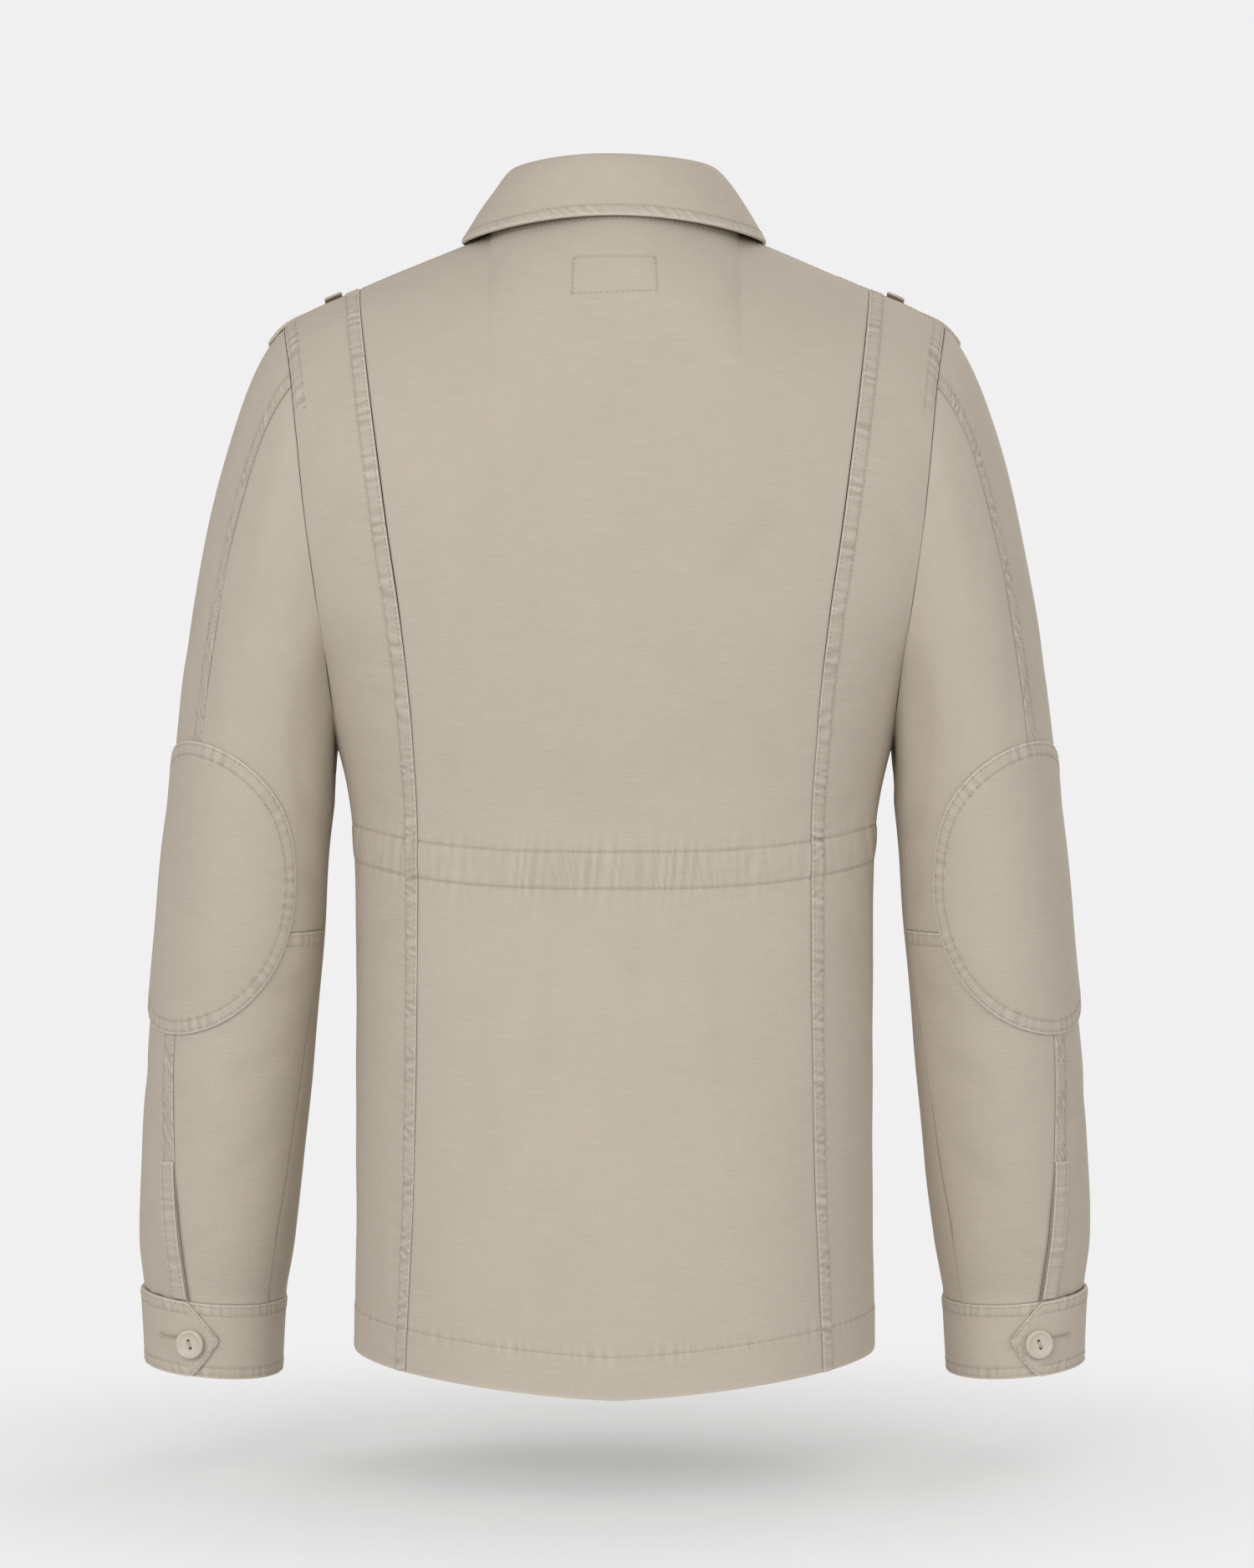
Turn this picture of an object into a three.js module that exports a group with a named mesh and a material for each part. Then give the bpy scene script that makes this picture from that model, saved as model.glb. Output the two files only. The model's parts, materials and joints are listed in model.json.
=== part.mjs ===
// A woman's field jacket in cotton twill, hollow and filled out as it is worn, with its front closed.
// It has a gathered waist, shaped back seams, two-piece sleeves with elbow patches, cuffs with
// pointed tabs, a fold-down collar and loose-ended shoulder straps.
// Millimetres, +Z up. The front faces -Y and the wearer's left is towards +X.
// The origin lies midway between the two points where the shoulder seams meet the neckline.
import * as THREE from 'three';

// Cloth and seams
const clothWall = 1.6;
const doubleWall = 2;
const seamGap = 0.3;
const seatGap = 0.55;
const patchGap = 0.7;
const lapGap = 0.4;
const standGap = { plain: 0.5, side: 1.3 };

// Body
const bodyRoundness = 2.4;
const shoulderPoint = 193;
const neckHalfWidth = 72;
const neckRise = 26;
const neckPointHeight = -1.5;
const backNeckHeight = 8;
const frontNeckHeight = -75;
const armpitHeight = -298;
const armholeSteps = 12;
const armholeGap = 0.45;
const shoulderColumns = 5;
const sideColumns = 7;
const seamTurn = 0.85;
const frontArmholeScoop = 5;
const necklineCurve = { back: 2, front: 2.4 };
const shoulderRounding = { atNeck: 62, atArm: 105, reach: 110 };
const frontLap = 20;
const frontLapSlope = 24;

// Heights of the body's sections, half its width there, and its depth behind and before the shoulders
const bodySections = [
  { z: -690, halfWidth: 152.5, back: 140, front: 118 },
  { z: -640, halfWidth: 152, back: 139, front: 118 },
  { z: -560, halfWidth: 151, back: 131, front: 116 },
  { z: -480, halfWidth: 151, back: 116, front: 113 },
  { z: -413, halfWidth: 151.5, back: 103, front: 110 },
  { z: -372, halfWidth: 152, back: 96, front: 108 },
  { z: -345, halfWidth: 153.5, back: 96.5, front: 109 },
  { z: -325, halfWidth: 156.5, back: 98, front: 112 },
  { z: -298, halfWidth: 163, back: 101, front: 117 },
  { z: -256, halfWidth: 177, back: 104, front: 121 },
  { z: -215, halfWidth: 202, back: 106, front: 119 },
  { z: -170, halfWidth: 220, back: 106, front: 113 },
  { z: -106, halfWidth: 226, back: 100, front: 100 },
  { z: -40, halfWidth: 226, back: 90, front: 87 },
  { z: 30, halfWidth: 226, back: 80, front: 76 },
];

// The top line of the shoulder, out from the neck point
const shoulderLine = [
  { x: 72, z: -1.5 },
  { x: 110, z: -17.5 },
  { x: 150, z: -34.3 },
  { x: 179, z: -47 },
  { x: 190, z: -54.2 },
  { x: 197, z: -60.5 },
];

// The armhole seam, down the back
const armholeLine = [
  { z: -298, x: 162.6 },
  { z: -282, x: 163.2 },
  { z: -256, x: 166 },
  { z: -215, x: 171.5 },
  { z: -170, x: 177.5 },
  { z: -106, x: 184.5 },
  { z: -80, x: 188.2 },
];

// The shaped seam down each side of the back, from the hem to the shoulder
const backSeam = [
  { z: -690, x: 120 },
  { z: -618, x: 117.5 },
  { z: -543, x: 114.5 },
  { z: -413, x: 113 },
  { z: -357, x: 113 },
  { z: -294, x: 116 },
  { z: -230, x: 122.5 },
  { z: -181, x: 129.5 },
  { z: -106, x: 139.5 },
  { z: -50, x: 147 },
  { z: -30, x: 149.5 },
];

// Levels across the body: height at the centre back, at the side and at the centre front.
// A higher bow keeps the level low for longer before it rises to the side.
const hemLevel = { back: -666, side: -651, front: -656, bow: 1.3 };
const casingFoot = { back: -380, side: -367, front: -372, bow: 3 };
const casingHead = { back: -359, side: -346, front: -351, bow: 3 };

// Rows of the body's panels: shares from the hem to the casing, and from the casing to the armpit.
// The rows over the casing are gathered.
const skirtRows = [0, 0.2, 0.4, 0.58, 0.76, 0.92];
const waistToArmpit = [0.35, 0.7];
const gatheredRows = [5, 6, 7, 8, 9];
const casingRows = [6, 7, 8];

// Creases where the elastic gathers the waist: place across the back, and depth
const gather = { panel: 0.5, stand: 1.5, reach: 26, edge: 56, fade: 16, hit: 0.6 };
const waistCreases = [
  { x: -54.9, depth: 0.9 },
  { x: -48, depth: 1.2 },
  { x: -41.7, depth: 1 },
  { x: -35.3, depth: 1.4 },
  { x: -25.5, depth: 1.3 },
  { x: -14.2, depth: 1.7 },
  { x: -5.9, depth: 1.1 },
  { x: -0.5, depth: 0.9 },
  { x: 6.4, depth: 1.4 },
  { x: 15.2, depth: 1.6 },
  { x: 22.1, depth: 1.2 },
  { x: 28.9, depth: 1.5 },
  { x: 36.3, depth: 1.2 },
  { x: 42.1, depth: 0.9 },
  { x: 48, depth: 1.1 },
];

// Sleeve: the level ring under the armpit, and the rings below it.
// Each has its centre, its half width across and its half depth.
const capFoot = -335;
const elbowLevel = -408;
const slitHead = -546;
const cuffSeam = -622.5;
const sleeveRings = [
  { z: -335, across: 212, forward: 0, halfWidth: 48.1, halfDepth: 66 },
  { z: -365, across: 215.3, forward: 0, halfWidth: 48.4, halfDepth: 64 },
  { z: -408, across: 218.6, forward: 0, halfWidth: 48.9, halfDepth: 61.5 },
  { z: -473, across: 224.6, forward: -6, halfWidth: 48.9, halfDepth: 57 },
  { z: -546, across: 230.6, forward: -15, halfWidth: 48, halfDepth: 52 },
  { z: -590, across: 234, forward: -21, halfWidth: 46, halfDepth: 48.5 },
  { z: cuffSeam, across: 235.4, forward: -26, halfWidth: 41.4, halfDepth: 44 },
];

// Angles round the sleeve, from straight back (0) outwards (90 degrees): its two long seams by height
const sleeveSeams = [
  { z: -630, outer: 18, under: -52 },
  { z: -590, outer: 25, under: -52 },
  { z: -546, outer: 31.5, under: -57 },
  { z: -466, outer: 39, under: -69 },
  { z: -408, outer: 39, under: -81 },
  { z: -335, outer: 38, under: -87 },
];
const capSeams = { outer: 45, under: -90 };
// How the cap leaves the armhole and meets the ring, under the arm and over the shoulder
const capLeave = { out: [2, 110], down: [37, 97], back: 8 };
const capArrive = { out: [1, 20], down: 0.98, back: -4 };
const capHeart = { atArmhole: 165, atRing: 214, below: 30 };
const capRows = 8;
const capSpacing = 1.15;
const topSleeveColumns = 15;
const underSleeveColumns = 9;
const edgeTurn = seamGap / 2 / 44;

// Rows of the sleeve below the cap, above and below the elbow seam
const armLevels = [-365, -386, elbowLevel];
const foreLevels = [elbowLevel, -440, -473, -510, slitHead, -572, -598, cuffSeam];

// Elbow patch: its middle height, half its height, and its half width as an angle round the sleeve
const patch = { middle: -382, halfHeight: 85, halfAngle: 84, lean: 5, wall: 1.2, across: 14, down: 9 };

// The bound edge beside the sleeve's slit
const placket = { above: 4, foot: -620, width: 5, radius: 48, wall: 1, rows: 7, clear: 0.01 };

// Cuff, by angle round the wrist: its start, and its tab's corner and reach, past a whole turn
const cuffDepth = 43.5;
const cuffTilt = { outer: 3.2, back: 3.5 };
const cuffWall = 2.2;
const cuffStand = 0.6;
const cuffTaper = 2.4;
const cuffStart = 44;
const cuffSteps = 34;
const cuffHeights = [0, 0.25, 0.5, 0.75, 1];
const cuffLap = { from: 235, over: 55 };
const tab = { corner: 18, reach: 24, steps: 5, top: 0.45, bottom: 0.51, roundness: 1.4 };

// Buttons
const button = { radius: 8.6, thickness: 3.4, rim: 2.3, slope: 1, recess: 0.9, foot: 0.86, head: 0.93, sides: 16 };
const cuffButton = { angle: 15.5, drop: 24 };
const frontButtonHeights = [-98, -202, -306, -410, -514];

// Collar, by the angle round the neck from the centre back
const collarEnd = 165;
const neckAngles = [0, 15, 30, 45, 60, 75, 84, 90, 96, 105, 120, 135, 150, collarEnd];
const standRise = { back: 31.4, side: 35.6, front: 24 };
const standShrink = { centre: 0.89, side: 0.08 };
const standRows = [0, 0.35, 0.7, 1];
const fold = { above: 3.5, out: 6.1, up: 5.5 };
const leafEdge = { halfWidth: 89, back: 66, backHeight: 6.3, sideHeight: -5.6, roundness: 2.2 };
const leafPoint = { x: 32, drop: 100, sideLift: 3.2, lift: 6, spread: 1.2, fall: 1.3 };
const leafRows = [0, 0.1, 0.25, 0.45, 0.7, 1];

// Shoulder strap, along the shoulder line: from its neck end to its loose tip
const strap = { neckEnd: 132, liftStart: 180, back: -10, width: 46, wall: 2 };
const strapRise = [
  { x: 130, z: -23.2 },
  { x: 179, z: -43.9 },
  { x: 190.6, z: -49.2 },
  { x: 197.5, z: -54.6 },
  { x: 204, z: -62.5 },
];
const strapStations = [0, 0.16, 0.34, 0.52, 0.66, 0.78, 0.88, 1];
const strapWidths = [0, 0.2, 0.4, 0.6, 0.8, 1];
const carrier = { from: 160.5, to: 170.5, wall: 1.2, overhang: 0.13 };

// Steps over which a face's direction is measured, and halvings in a search for a height
const probe = { turn: 0.002, height: 0.3, angle: 0.003, share: 0.004, leaf: 0.01, round: 0.03, fold: 0.1 };
const halvings = 24;

const colours = {
  twill: 0xbfb4a4,
  patchTwill: 0xbbb09f,
  button: 0xc2b7a6,
};

const degrees = Math.PI / 180;
const mix = (from, to, share) => from + (to - from) * share;
const clamp = (value, low, high) => Math.min(high, Math.max(low, value));
const ease = (value) => {
  const t = clamp(value, 0, 1);
  return t * t * (3 - 2 * t);
};

// A smooth curve through a table's rows, read by one column and giving another
function reader(rows, by, give) {
  const sorted = [...rows].sort((a, b) => a[by] - b[by]);
  const last = sorted.length - 1;
  const slopeBetween = (i) => (sorted[i + 1][give] - sorted[i][give]) / (sorted[i + 1][by] - sorted[i][by]);
  const slopes = sorted.map((row, i) => {
    if (i === 0) return slopeBetween(0);
    if (i === last) return slopeBetween(last - 1);
    const before = slopeBetween(i - 1);
    const after = slopeBetween(i);
    return before * after <= 0 ? 0 : (2 * before * after) / (before + after);
  });
  return (value) => {
    const at = clamp(value, sorted[0][by], sorted[last][by]);
    let i = 0;
    while (i < last - 1 && at > sorted[i + 1][by]) i += 1;
    const span = sorted[i + 1][by] - sorted[i][by];
    const t = (at - sorted[i][by]) / span;
    const a = sorted[i][give];
    const b = sorted[i + 1][give];
    const curve = (2 * t ** 3 - 3 * t ** 2 + 1) * a + (-2 * t ** 3 + 3 * t ** 2) * b;
    return curve + (t ** 3 - 2 * t ** 2 + t) * span * slopes[i] + (t ** 3 - t ** 2) * span * slopes[i + 1];
  };
}

const bodyHalfWidth = reader(bodySections, 'z', 'halfWidth');
const backDepth = reader(bodySections, 'z', 'back');
const frontDepth = reader(bodySections, 'z', 'front');
const shoulderHeight = reader(shoulderLine, 'x', 'z');
const armholeTop = { z: shoulderHeight(shoulderPoint), x: shoulderPoint };
const armholeX = reader([...armholeLine, armholeTop], 'z', 'x');
const backSeamX = reader(backSeam, 'z', 'x');
const strapHeight = reader(strapRise, 'x', 'z');
const outerSeamAngle = reader(sleeveSeams, 'z', 'outer');
const underSeamAngle = reader(sleeveSeams, 'z', 'under');
const ringReaders = ['across', 'forward', 'halfWidth', 'halfDepth'].map((key) => [key, reader(sleeveRings, 'z', key)]);
const ringAt = (z) => Object.fromEntries(ringReaders.map(([key, read]) => [key, read(z)]));
const backSeamTop = backSeam[backSeam.length - 1].x;

// The height at which the back and front meet: the shoulder line, rising up the neck inside it
function ridge(x) {
  const reach = Math.abs(x);
  if (reach >= neckHalfWidth) return shoulderHeight(reach);
  return neckPointHeight + neckRise * (1 - (reach / neckHalfWidth) ** 2) ** 0.75;
}

// A point of the body's outer face. The turn is 0 at the centre and 90 degrees at the side.
function bodyPoint(turn, z, half) {
  const x = bodyHalfWidth(z) * Math.sin(turn);
  const across = (1 - Math.abs(Math.sin(turn)) ** bodyRoundness) ** (1 / bodyRoundness);
  const below = ridge(x) - z;
  const { atNeck, atArm, reach } = shoulderRounding;
  const rounding = mix(atNeck, atArm, ease(Math.abs(x) / reach));
  const fallen = 1 - clamp(Math.abs(below) / rounding, 0, 1);
  const shoulder = Math.sign(below) * Math.sqrt(1 - fallen ** 2);
  const depth = half > 0 ? backDepth(z) : frontDepth(z);
  const y = depth * across * Math.sign(Math.cos(turn)) * shoulder + seamGap / 2;
  return new THREE.Vector3(x, half * y, z + Math.min(0, below) * 2);
}

// The direction out of a face given by a function of two values
function outward(surface, u, v, stepU, stepV) {
  const alongU = surface(u + stepU, v).sub(surface(u - stepU, v));
  const alongV = surface(u, v + stepV).sub(surface(u, v - stepV));
  return alongU.cross(alongV).normalize();
}

function bodyNormal(turn, z, half) {
  const normal = outward((u, v) => bodyPoint(u, v, half), turn, z, probe.turn, probe.height);
  return normal.multiplyScalar(-half);
}

const turnOf = (x, z) => Math.asin(clamp(x / bodyHalfWidth(z), -1, 1));

// A closed wall from rows of outer and inner points. Rows may differ in their number of points.
function wallGeometry(outerRows, innerRows) {
  const positions = [];
  const faces = [];
  const place = (row) => row.map((point) => positions.push(point.x, point.y, point.z) / 3 - 1);
  const outer = outerRows.map(place);
  const inner = innerRows.map(place);
  const face = (a, b, c, flip) => faces.push(...(flip ? [a, c, b] : [a, b, c]));
  const strip = (near, far, flip) => {
    let i = 0;
    let j = 0;
    while (i < near.length - 1 || j < far.length - 1) {
      const nextNear = (i + 1) / (near.length - 1);
      const nextFar = (j + 1) / (far.length - 1);
      if (j === far.length - 1 || (i < near.length - 1 && nextNear <= nextFar)) {
        face(near[i], near[i + 1], far[j], flip);
        i += 1;
      } else {
        face(near[i], far[j + 1], far[j], flip);
        j += 1;
      }
    }
  };
  for (let row = 0; row < outer.length - 1; row += 1) {
    strip(outer[row], outer[row + 1], false);
    strip(inner[row], inner[row + 1], true);
  }
  const end = outer.length - 1;
  strip(outer[0], inner[0], true);
  strip(outer[end], inner[end], false);
  const firsts = (rows) => rows.map((row) => row[0]);
  const lasts = (rows) => rows.map((row) => row[row.length - 1]);
  strip(firsts(outer), firsts(inner), false);
  strip(lasts(outer), lasts(inner), true);
  return solidGeometry(positions, faces);
}

// A geometry with its faces turned outwards, whichever way they were listed
function solidGeometry(positions, faces) {
  const corner = (i) => new THREE.Vector3().fromArray(positions, faces[i] * 3);
  let volume = 0;
  for (let i = 0; i < faces.length; i += 3) volume += corner(i).dot(corner(i + 1).cross(corner(i + 2)));
  const geometry = new THREE.BufferGeometry();
  geometry.setAttribute('position', new THREE.Float32BufferAttribute(positions, 3));
  const turned = faces.slice();
  if (volume < 0) {
    for (let i = 0; i < turned.length; i += 3) [turned[i + 1], turned[i + 2]] = [faces[i + 2], faces[i + 1]];
  }
  geometry.setIndex(turned);
  return geometry;
}

// A wall from rows of places, each with its point, the direction out of it, and any rise above the cloth
function wall(rows, thickness) {
  const outerRows = rows.map((row) => row.map((p) => p.point.clone().addScaledVector(p.out, p.rise ?? 0)));
  const innerRows = rows.map((row) => row.map((p) => p.point.clone().addScaledVector(p.out, -thickness)));
  return wallGeometry(outerRows, innerRows);
}

const jacket = new THREE.Group();

function add(name, geometry, colour = colours.twill) {
  const material = new THREE.MeshStandardMaterial({ color: colour, roughness: 0.9, metalness: 0 });
  const mesh = new THREE.Mesh(geometry, material);
  mesh.name = name;
  mesh.geometry.computeVertexNormals();
  jacket.add(mesh);
}

// A piece of the left side, and the same piece mirrored for the right
function addPair(name, geometry, colour) {
  const flipped = geometry.clone().scale(-1, 1, 1);
  const faces = Array.from(flipped.getIndex().array);
  add(`${name}_left`, geometry, colour);
  add(`${name}_right`, solidGeometry(Array.from(flipped.getAttribute('position').array), faces), colour);
}

// Height of a level line across the body at one turn
function levelHeight(level, turn, half) {
  const centre = half > 0 ? level.back : level.front;
  return mix(centre, level.side, Math.abs(Math.sin(turn)) ** level.bow);
}

// Share of the way from the armpit to the shoulder at each row, close together at both ends
const climb = (step) => (1 - Math.cos((Math.PI * step) / armholeSteps)) / 2;

// How far the gathered waist stands out at a place across the back
function waistRise(x, z) {
  const turn = turnOf(x, z);
  const away = Math.max(0, z - levelHeight(casingHead, turn, 1), levelHeight(casingFoot, turn, 1) - z);
  const panel = away < gather.hit ? gather.panel : 0;
  const crease = waistCreases.find((row) => Math.abs(row.x - x) < gather.hit);
  const spread = 1 - ease((Math.abs(x) - gather.edge) / gather.fade);
  const fade = 1 - ease(away / gather.reach);
  return panel + spread * fade * Math.max(0, gather.stand - (crease ? crease.depth : 0));
}

// The heights of a body panel's rows at one place across it
function rowHeights(turn, half, top) {
  const hem = levelHeight(hemLevel, turn, half);
  const foot = levelHeight(casingFoot, turn, half);
  const head = levelHeight(casingHead, turn, half);
  const rows = skirtRows.map((share) => mix(hem, foot, share));
  rows.push(foot, mix(foot, head, 0.5), head);
  rows.push(...waistToArmpit.map((share) => mix(head, armpitHeight, share)));
  for (let step = 0; step <= armholeSteps; step += 1) rows.push(mix(armpitHeight, top, climb(step)));
  return rows;
}
const armpitRow = skirtRows.length + casingRows.length + waistToArmpit.length;
const rowCount = armpitRow + armholeSteps + 1;

// Places along the top edge, out from the centre: round the neck by angle, then along the shoulder
function topPlaces(farEnd, shoulderColumns) {
  const places = [];
  const backAngles = neckAngles.filter((angle) => angle <= 90);
  backAngles.forEach((angle) => places.push(neckHalfWidth * Math.sin(angle * degrees)));
  for (let i = 1; i <= shoulderColumns; i += 1) places.push(mix(neckHalfWidth, farEnd, i / shoulderColumns));
  return places;
}

// Both sides of a list of places that starts at the centre
const bothSides = (places) => [...places.slice(1).reverse().map((x) => -x), ...places];

// Where the waist is gathered, a place at each crease and one between each pair
function gatheredShares(halfWidth) {
  const inner = [];
  waistCreases.forEach((crease, i) => {
    inner.push(crease.x / halfWidth);
    if (i < waistCreases.length - 1) inner.push((crease.x + waistCreases[i + 1].x) / 2 / halfWidth);
  });
  const low = inner[0];
  const high = inner[inner.length - 1];
  const outer = [0, 0.25, 0.5, 0.75];
  const before = outer.map((share) => mix(-1, low, share));
  const after = outer.map((share) => mix(1, high, share)).reverse();
  return [...before, ...inner, ...after];
}

// Height of the body's top edge: the shoulder line, or the neckline inside it
function topEdge(x, half) {
  const reach = Math.abs(x) / neckHalfWidth;
  if (reach >= 1) return ridge(x);
  if (half > 0) return mix(backNeckHeight, neckPointHeight, reach ** necklineCurve.back);
  return mix(frontNeckHeight, neckPointHeight, reach ** necklineCurve.front);
}

// A place on a body panel. Its top row lies exactly on the top edge.
function panelPlace(turn, z, half, row) {
  const top = row === rowCount - 1;
  const height = top ? topEdge(bodyHalfWidth(z) * Math.sin(turn), half) : z;
  return { point: bodyPoint(turn, height, half), out: bodyNormal(turn, height, half) };
}

// A row's height where the back seam crosses it
const seamHeight = (row) => rowHeights(seamTurn, 1, ridge(backSeamTop))[row];

function backCentrePanel() {
  const top = bothSides(topPlaces(backSeamTop, shoulderColumns));
  const even = top.map((_, i) => (2 * i) / (top.length - 1) - 1);
  const gathered = gatheredShares(backSeamX(casingHead.back));
  const rows = [];
  for (let row = 0; row < rowCount; row += 1) {
    const fine = gatheredRows.includes(row);
    const up = climb(Math.max(0, row - armpitRow));
    const shares = fine ? gathered : top.map((x, i) => mix(even[i], x / backSeamTop, up));
    const level = seamHeight(row);
    rows.push(
      shares.map((share, i) => {
        const topX = fine ? share * backSeamTop : top[i];
        const x = share * (backSeamX(level) - seamGap / 2);
        const z = rowHeights(turnOf(x, level), 1, topEdge(topX, 1))[row];
        const turn = turnOf(x, z);
        const rise = fine ? waistRise(x, z) : 0;
        return { ...panelPlace(turn, z, 1, row), rise };
      }),
    );
  }
  add('back_centre_panel', wall(rows, clothWall));
}

// Where the armhole's edge lies at one of its steps, from the armpit to the shoulder, on one half.
// In the first step it turns from the side seam on to its line.
function armholePlace(step, half) {
  const top = ridge(shoulderPoint);
  const z = mix(armpitHeight, top, climb(step));
  const scoop = half < 0 ? frontArmholeScoop * Math.sin((Math.PI * step) / armholeSteps) : 0;
  const turn = mix(Math.PI / 2, turnOf(armholeX(z) - scoop, z), Math.min(1, step));
  return { turn, z, point: bodyPoint(turn, z, half), out: bodyNormal(turn, z, half) };
}

// Turn of a place between a seam and the armhole: even by angle low down, even along the shoulder at the top
function turnAcross({ seamX, seamTop, armhole, topX, share, step, z }) {
  const evenX = bodyHalfWidth(z) * Math.sin(mix(turnOf(seamX, z), armhole.turn, share));
  const top = ridge(shoulderPoint);
  const evenTop = bodyHalfWidth(top) * Math.sin(mix(turnOf(seamTop, top), turnOf(shoulderPoint, top), share));
  return turnOf(evenX + (topX - evenTop) * climb(step), z);
}

function backSidePanel() {
  const rows = [];
  for (let row = 0; row < rowCount; row += 1) {
    const level = seamHeight(row);
    const seamX = backSeamX(level) + seamGap / 2;
    const step = row - armpitRow;
    const armhole = step > 0 ? armholePlace(step, 1) : null;
    const outerTurn = armhole ? armhole.turn : Math.PI / 2;
    const rise = casingRows.includes(row) ? gather.panel : 0;
    const places = [];
    for (let column = 0; column <= sideColumns; column += 1) {
      const share = column / sideColumns;
      const topX = mix(backSeamTop, shoulderPoint, share);
      const z = rowHeights(mix(turnOf(seamX, level), outerTurn, share), 1, topEdge(topX, 1))[row];
      const across = { seamX, seamTop: backSeamTop, armhole, topX, share, step, z };
      const turn = armhole ? turnAcross(across) : mix(turnOf(seamX, z), outerTurn, share);
      places.push({ ...panelPlace(turn, z, 1, row), rise });
    }
    rows.push(places);
  }
  addPair('back_side_panel', wall(rows, clothWall));
}

// A front from its side seam to its edge past the centre. The upper one stands out over the lower.
function frontPanel(name, side, lapped) {
  const top = [-frontLap, ...topPlaces(shoulderPoint, shoulderColumns)].reverse();
  const columns = top.length - 1;
  const rows = [];
  for (let row = 0; row < rowCount; row += 1) {
    const step = row - armpitRow;
    const armhole = step > 0 ? armholePlace(step, -1) : null;
    const places = [];
    for (let column = 0; column <= columns; column += 1) {
      const share = column / columns;
      const topX = top[column];
      const evenTurn = mix(Math.PI / 2, turnOf(-frontLap, casingFoot.front), share);
      const z = rowHeights(evenTurn, -1, topEdge(topX, -1))[row];
      const across = { seamX: -frontLap, seamTop: -frontLap, armhole, topX, share: 1 - share, step, z };
      const turn = armhole ? turnAcross(across) : mix(Math.PI / 2, turnOf(-frontLap, z), share);
      const { point, out } = panelPlace(turn, z, -1, row);
      const lap = lapped ? (doubleWall + lapGap) * ease((frontLap + frontLapSlope - point.x) / frontLapSlope) : 0;
      point.addScaledVector(out, lap);
      point.x *= side;
      out.x *= side;
      places.push({ point, out });
    }
    rows.push(places);
  }
  add(name, wall(rows, clothWall));
}

// Height of the seam between the sleeve and its cuff
const cuffSeamHeight = (angle) => cuffSeam + cuffTilt.outer * Math.sin(angle) - cuffTilt.back * Math.cos(angle);

// A point of the left sleeve's outer face below the cap, by the angle round it and its height
function ringPoint(angle, z) {
  const ring = ringAt(z);
  const x = ring.across + ring.halfWidth * Math.sin(angle);
  const y = ring.forward + ring.halfDepth * Math.cos(angle);
  return new THREE.Vector3(x, y, z);
}

// The armhole's edge by angle, from the armpit (-90 degrees) over the back to the shoulder (90) and round
function armholeEdge(angle) {
  const half = Math.cos(angle) >= 0 ? 1 : -1;
  const step = (Math.asin(clamp(Math.sin(angle), -1, 1)) / Math.PI + 0.5) * armholeSteps;
  return armholePlace(clamp(step, 0, armholeSteps), half);
}

// A point of the cap: share 0 at the armhole, 1 at the ring under the armpit
function capPoint(angle, share) {
  const edge = armholeEdge(angle).point;
  const start = new THREE.Vector3(edge.x + armholeGap, edge.y, edge.z);
  const foot = ringPoint(angle, capFoot);
  const upper = (1 + Math.sin(angle)) / 2;
  const back = Math.cos(angle);
  const leave = new THREE.Vector3(mix(...capLeave.out, upper), capLeave.back * back, -mix(...capLeave.down, upper));
  const arrive = new THREE.Vector3(mix(...capArrive.out, upper), capArrive.back * back, 0);
  arrive.z = (foot.z - start.z) * capArrive.down;
  const t = share;
  const point = start.multiplyScalar(2 * t ** 3 - 3 * t ** 2 + 1);
  point.addScaledVector(foot, -2 * t ** 3 + 3 * t ** 2);
  point.addScaledVector(leave, t ** 3 - 2 * t ** 2 + t);
  return point.addScaledVector(arrive, t ** 3 - t ** 2);
}

// A place on the sleeve. A level of 0 or more is a share of the cap, one below 0 is a height.
function sleevePlace(angle, level) {
  const inCap = level >= 0;
  const surface = inCap ? capPoint : ringPoint;
  const point = surface(angle, level);
  const out = outward(surface, angle, level, probe.angle, inCap ? probe.share : probe.height);
  const heart = new THREE.Vector3(capHeart.atRing, 0, point.z);
  if (inCap) heart.set(mix(capHeart.atArmhole, capHeart.atRing, level), 0, point.z - capHeart.below);
  if (out.dot(point.clone().sub(heart)) < 0) out.multiplyScalar(-1);
  const upper = Math.sin(angle);
  if (level === 0 && upper > 0) out.lerp(armholeEdge(angle).out, ease(upper * 1.5)).normalize();
  return { point, out };
}

// Rows down the cap, closer together near the armhole
const capLevels = Array.from({ length: capRows + 1 }, (_, i) => (i / capRows) ** capSpacing);

const seamAngles = (level, inCap) => {
  const outer = inCap ? mix(capSeams.outer, outerSeamAngle(capFoot), level) : outerSeamAngle(level);
  const under = inCap ? mix(capSeams.under, underSeamAngle(capFoot), level) : underSeamAngle(level);
  return { outer: outer * degrees, under: under * degrees };
};

// One row of places round the sleeve between two angles
function sleeveRow(level, inCap, from, to, columns) {
  const places = [];
  for (let column = 0; column <= columns; column += 1) {
    const angle = mix(from, to, column / columns);
    const foot = !inCap && level <= cuffSeam;
    places.push(sleevePlace(angle, foot ? cuffSeamHeight(angle) : level));
  }
  return places;
}

function topSleeve() {
  const row = (level, inCap) => {
    const { outer, under } = seamAngles(level, inCap);
    return sleeveRow(level, inCap, outer + edgeTurn, under + 2 * Math.PI - edgeTurn, topSleeveColumns);
  };
  const rows = capLevels.map((share) => row(share, true));
  rows.push(...[...armLevels, ...foreLevels.slice(1)].map((z) => row(z, false)));
  addPair('sleeve_top', wall(rows, clothWall));
}

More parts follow.
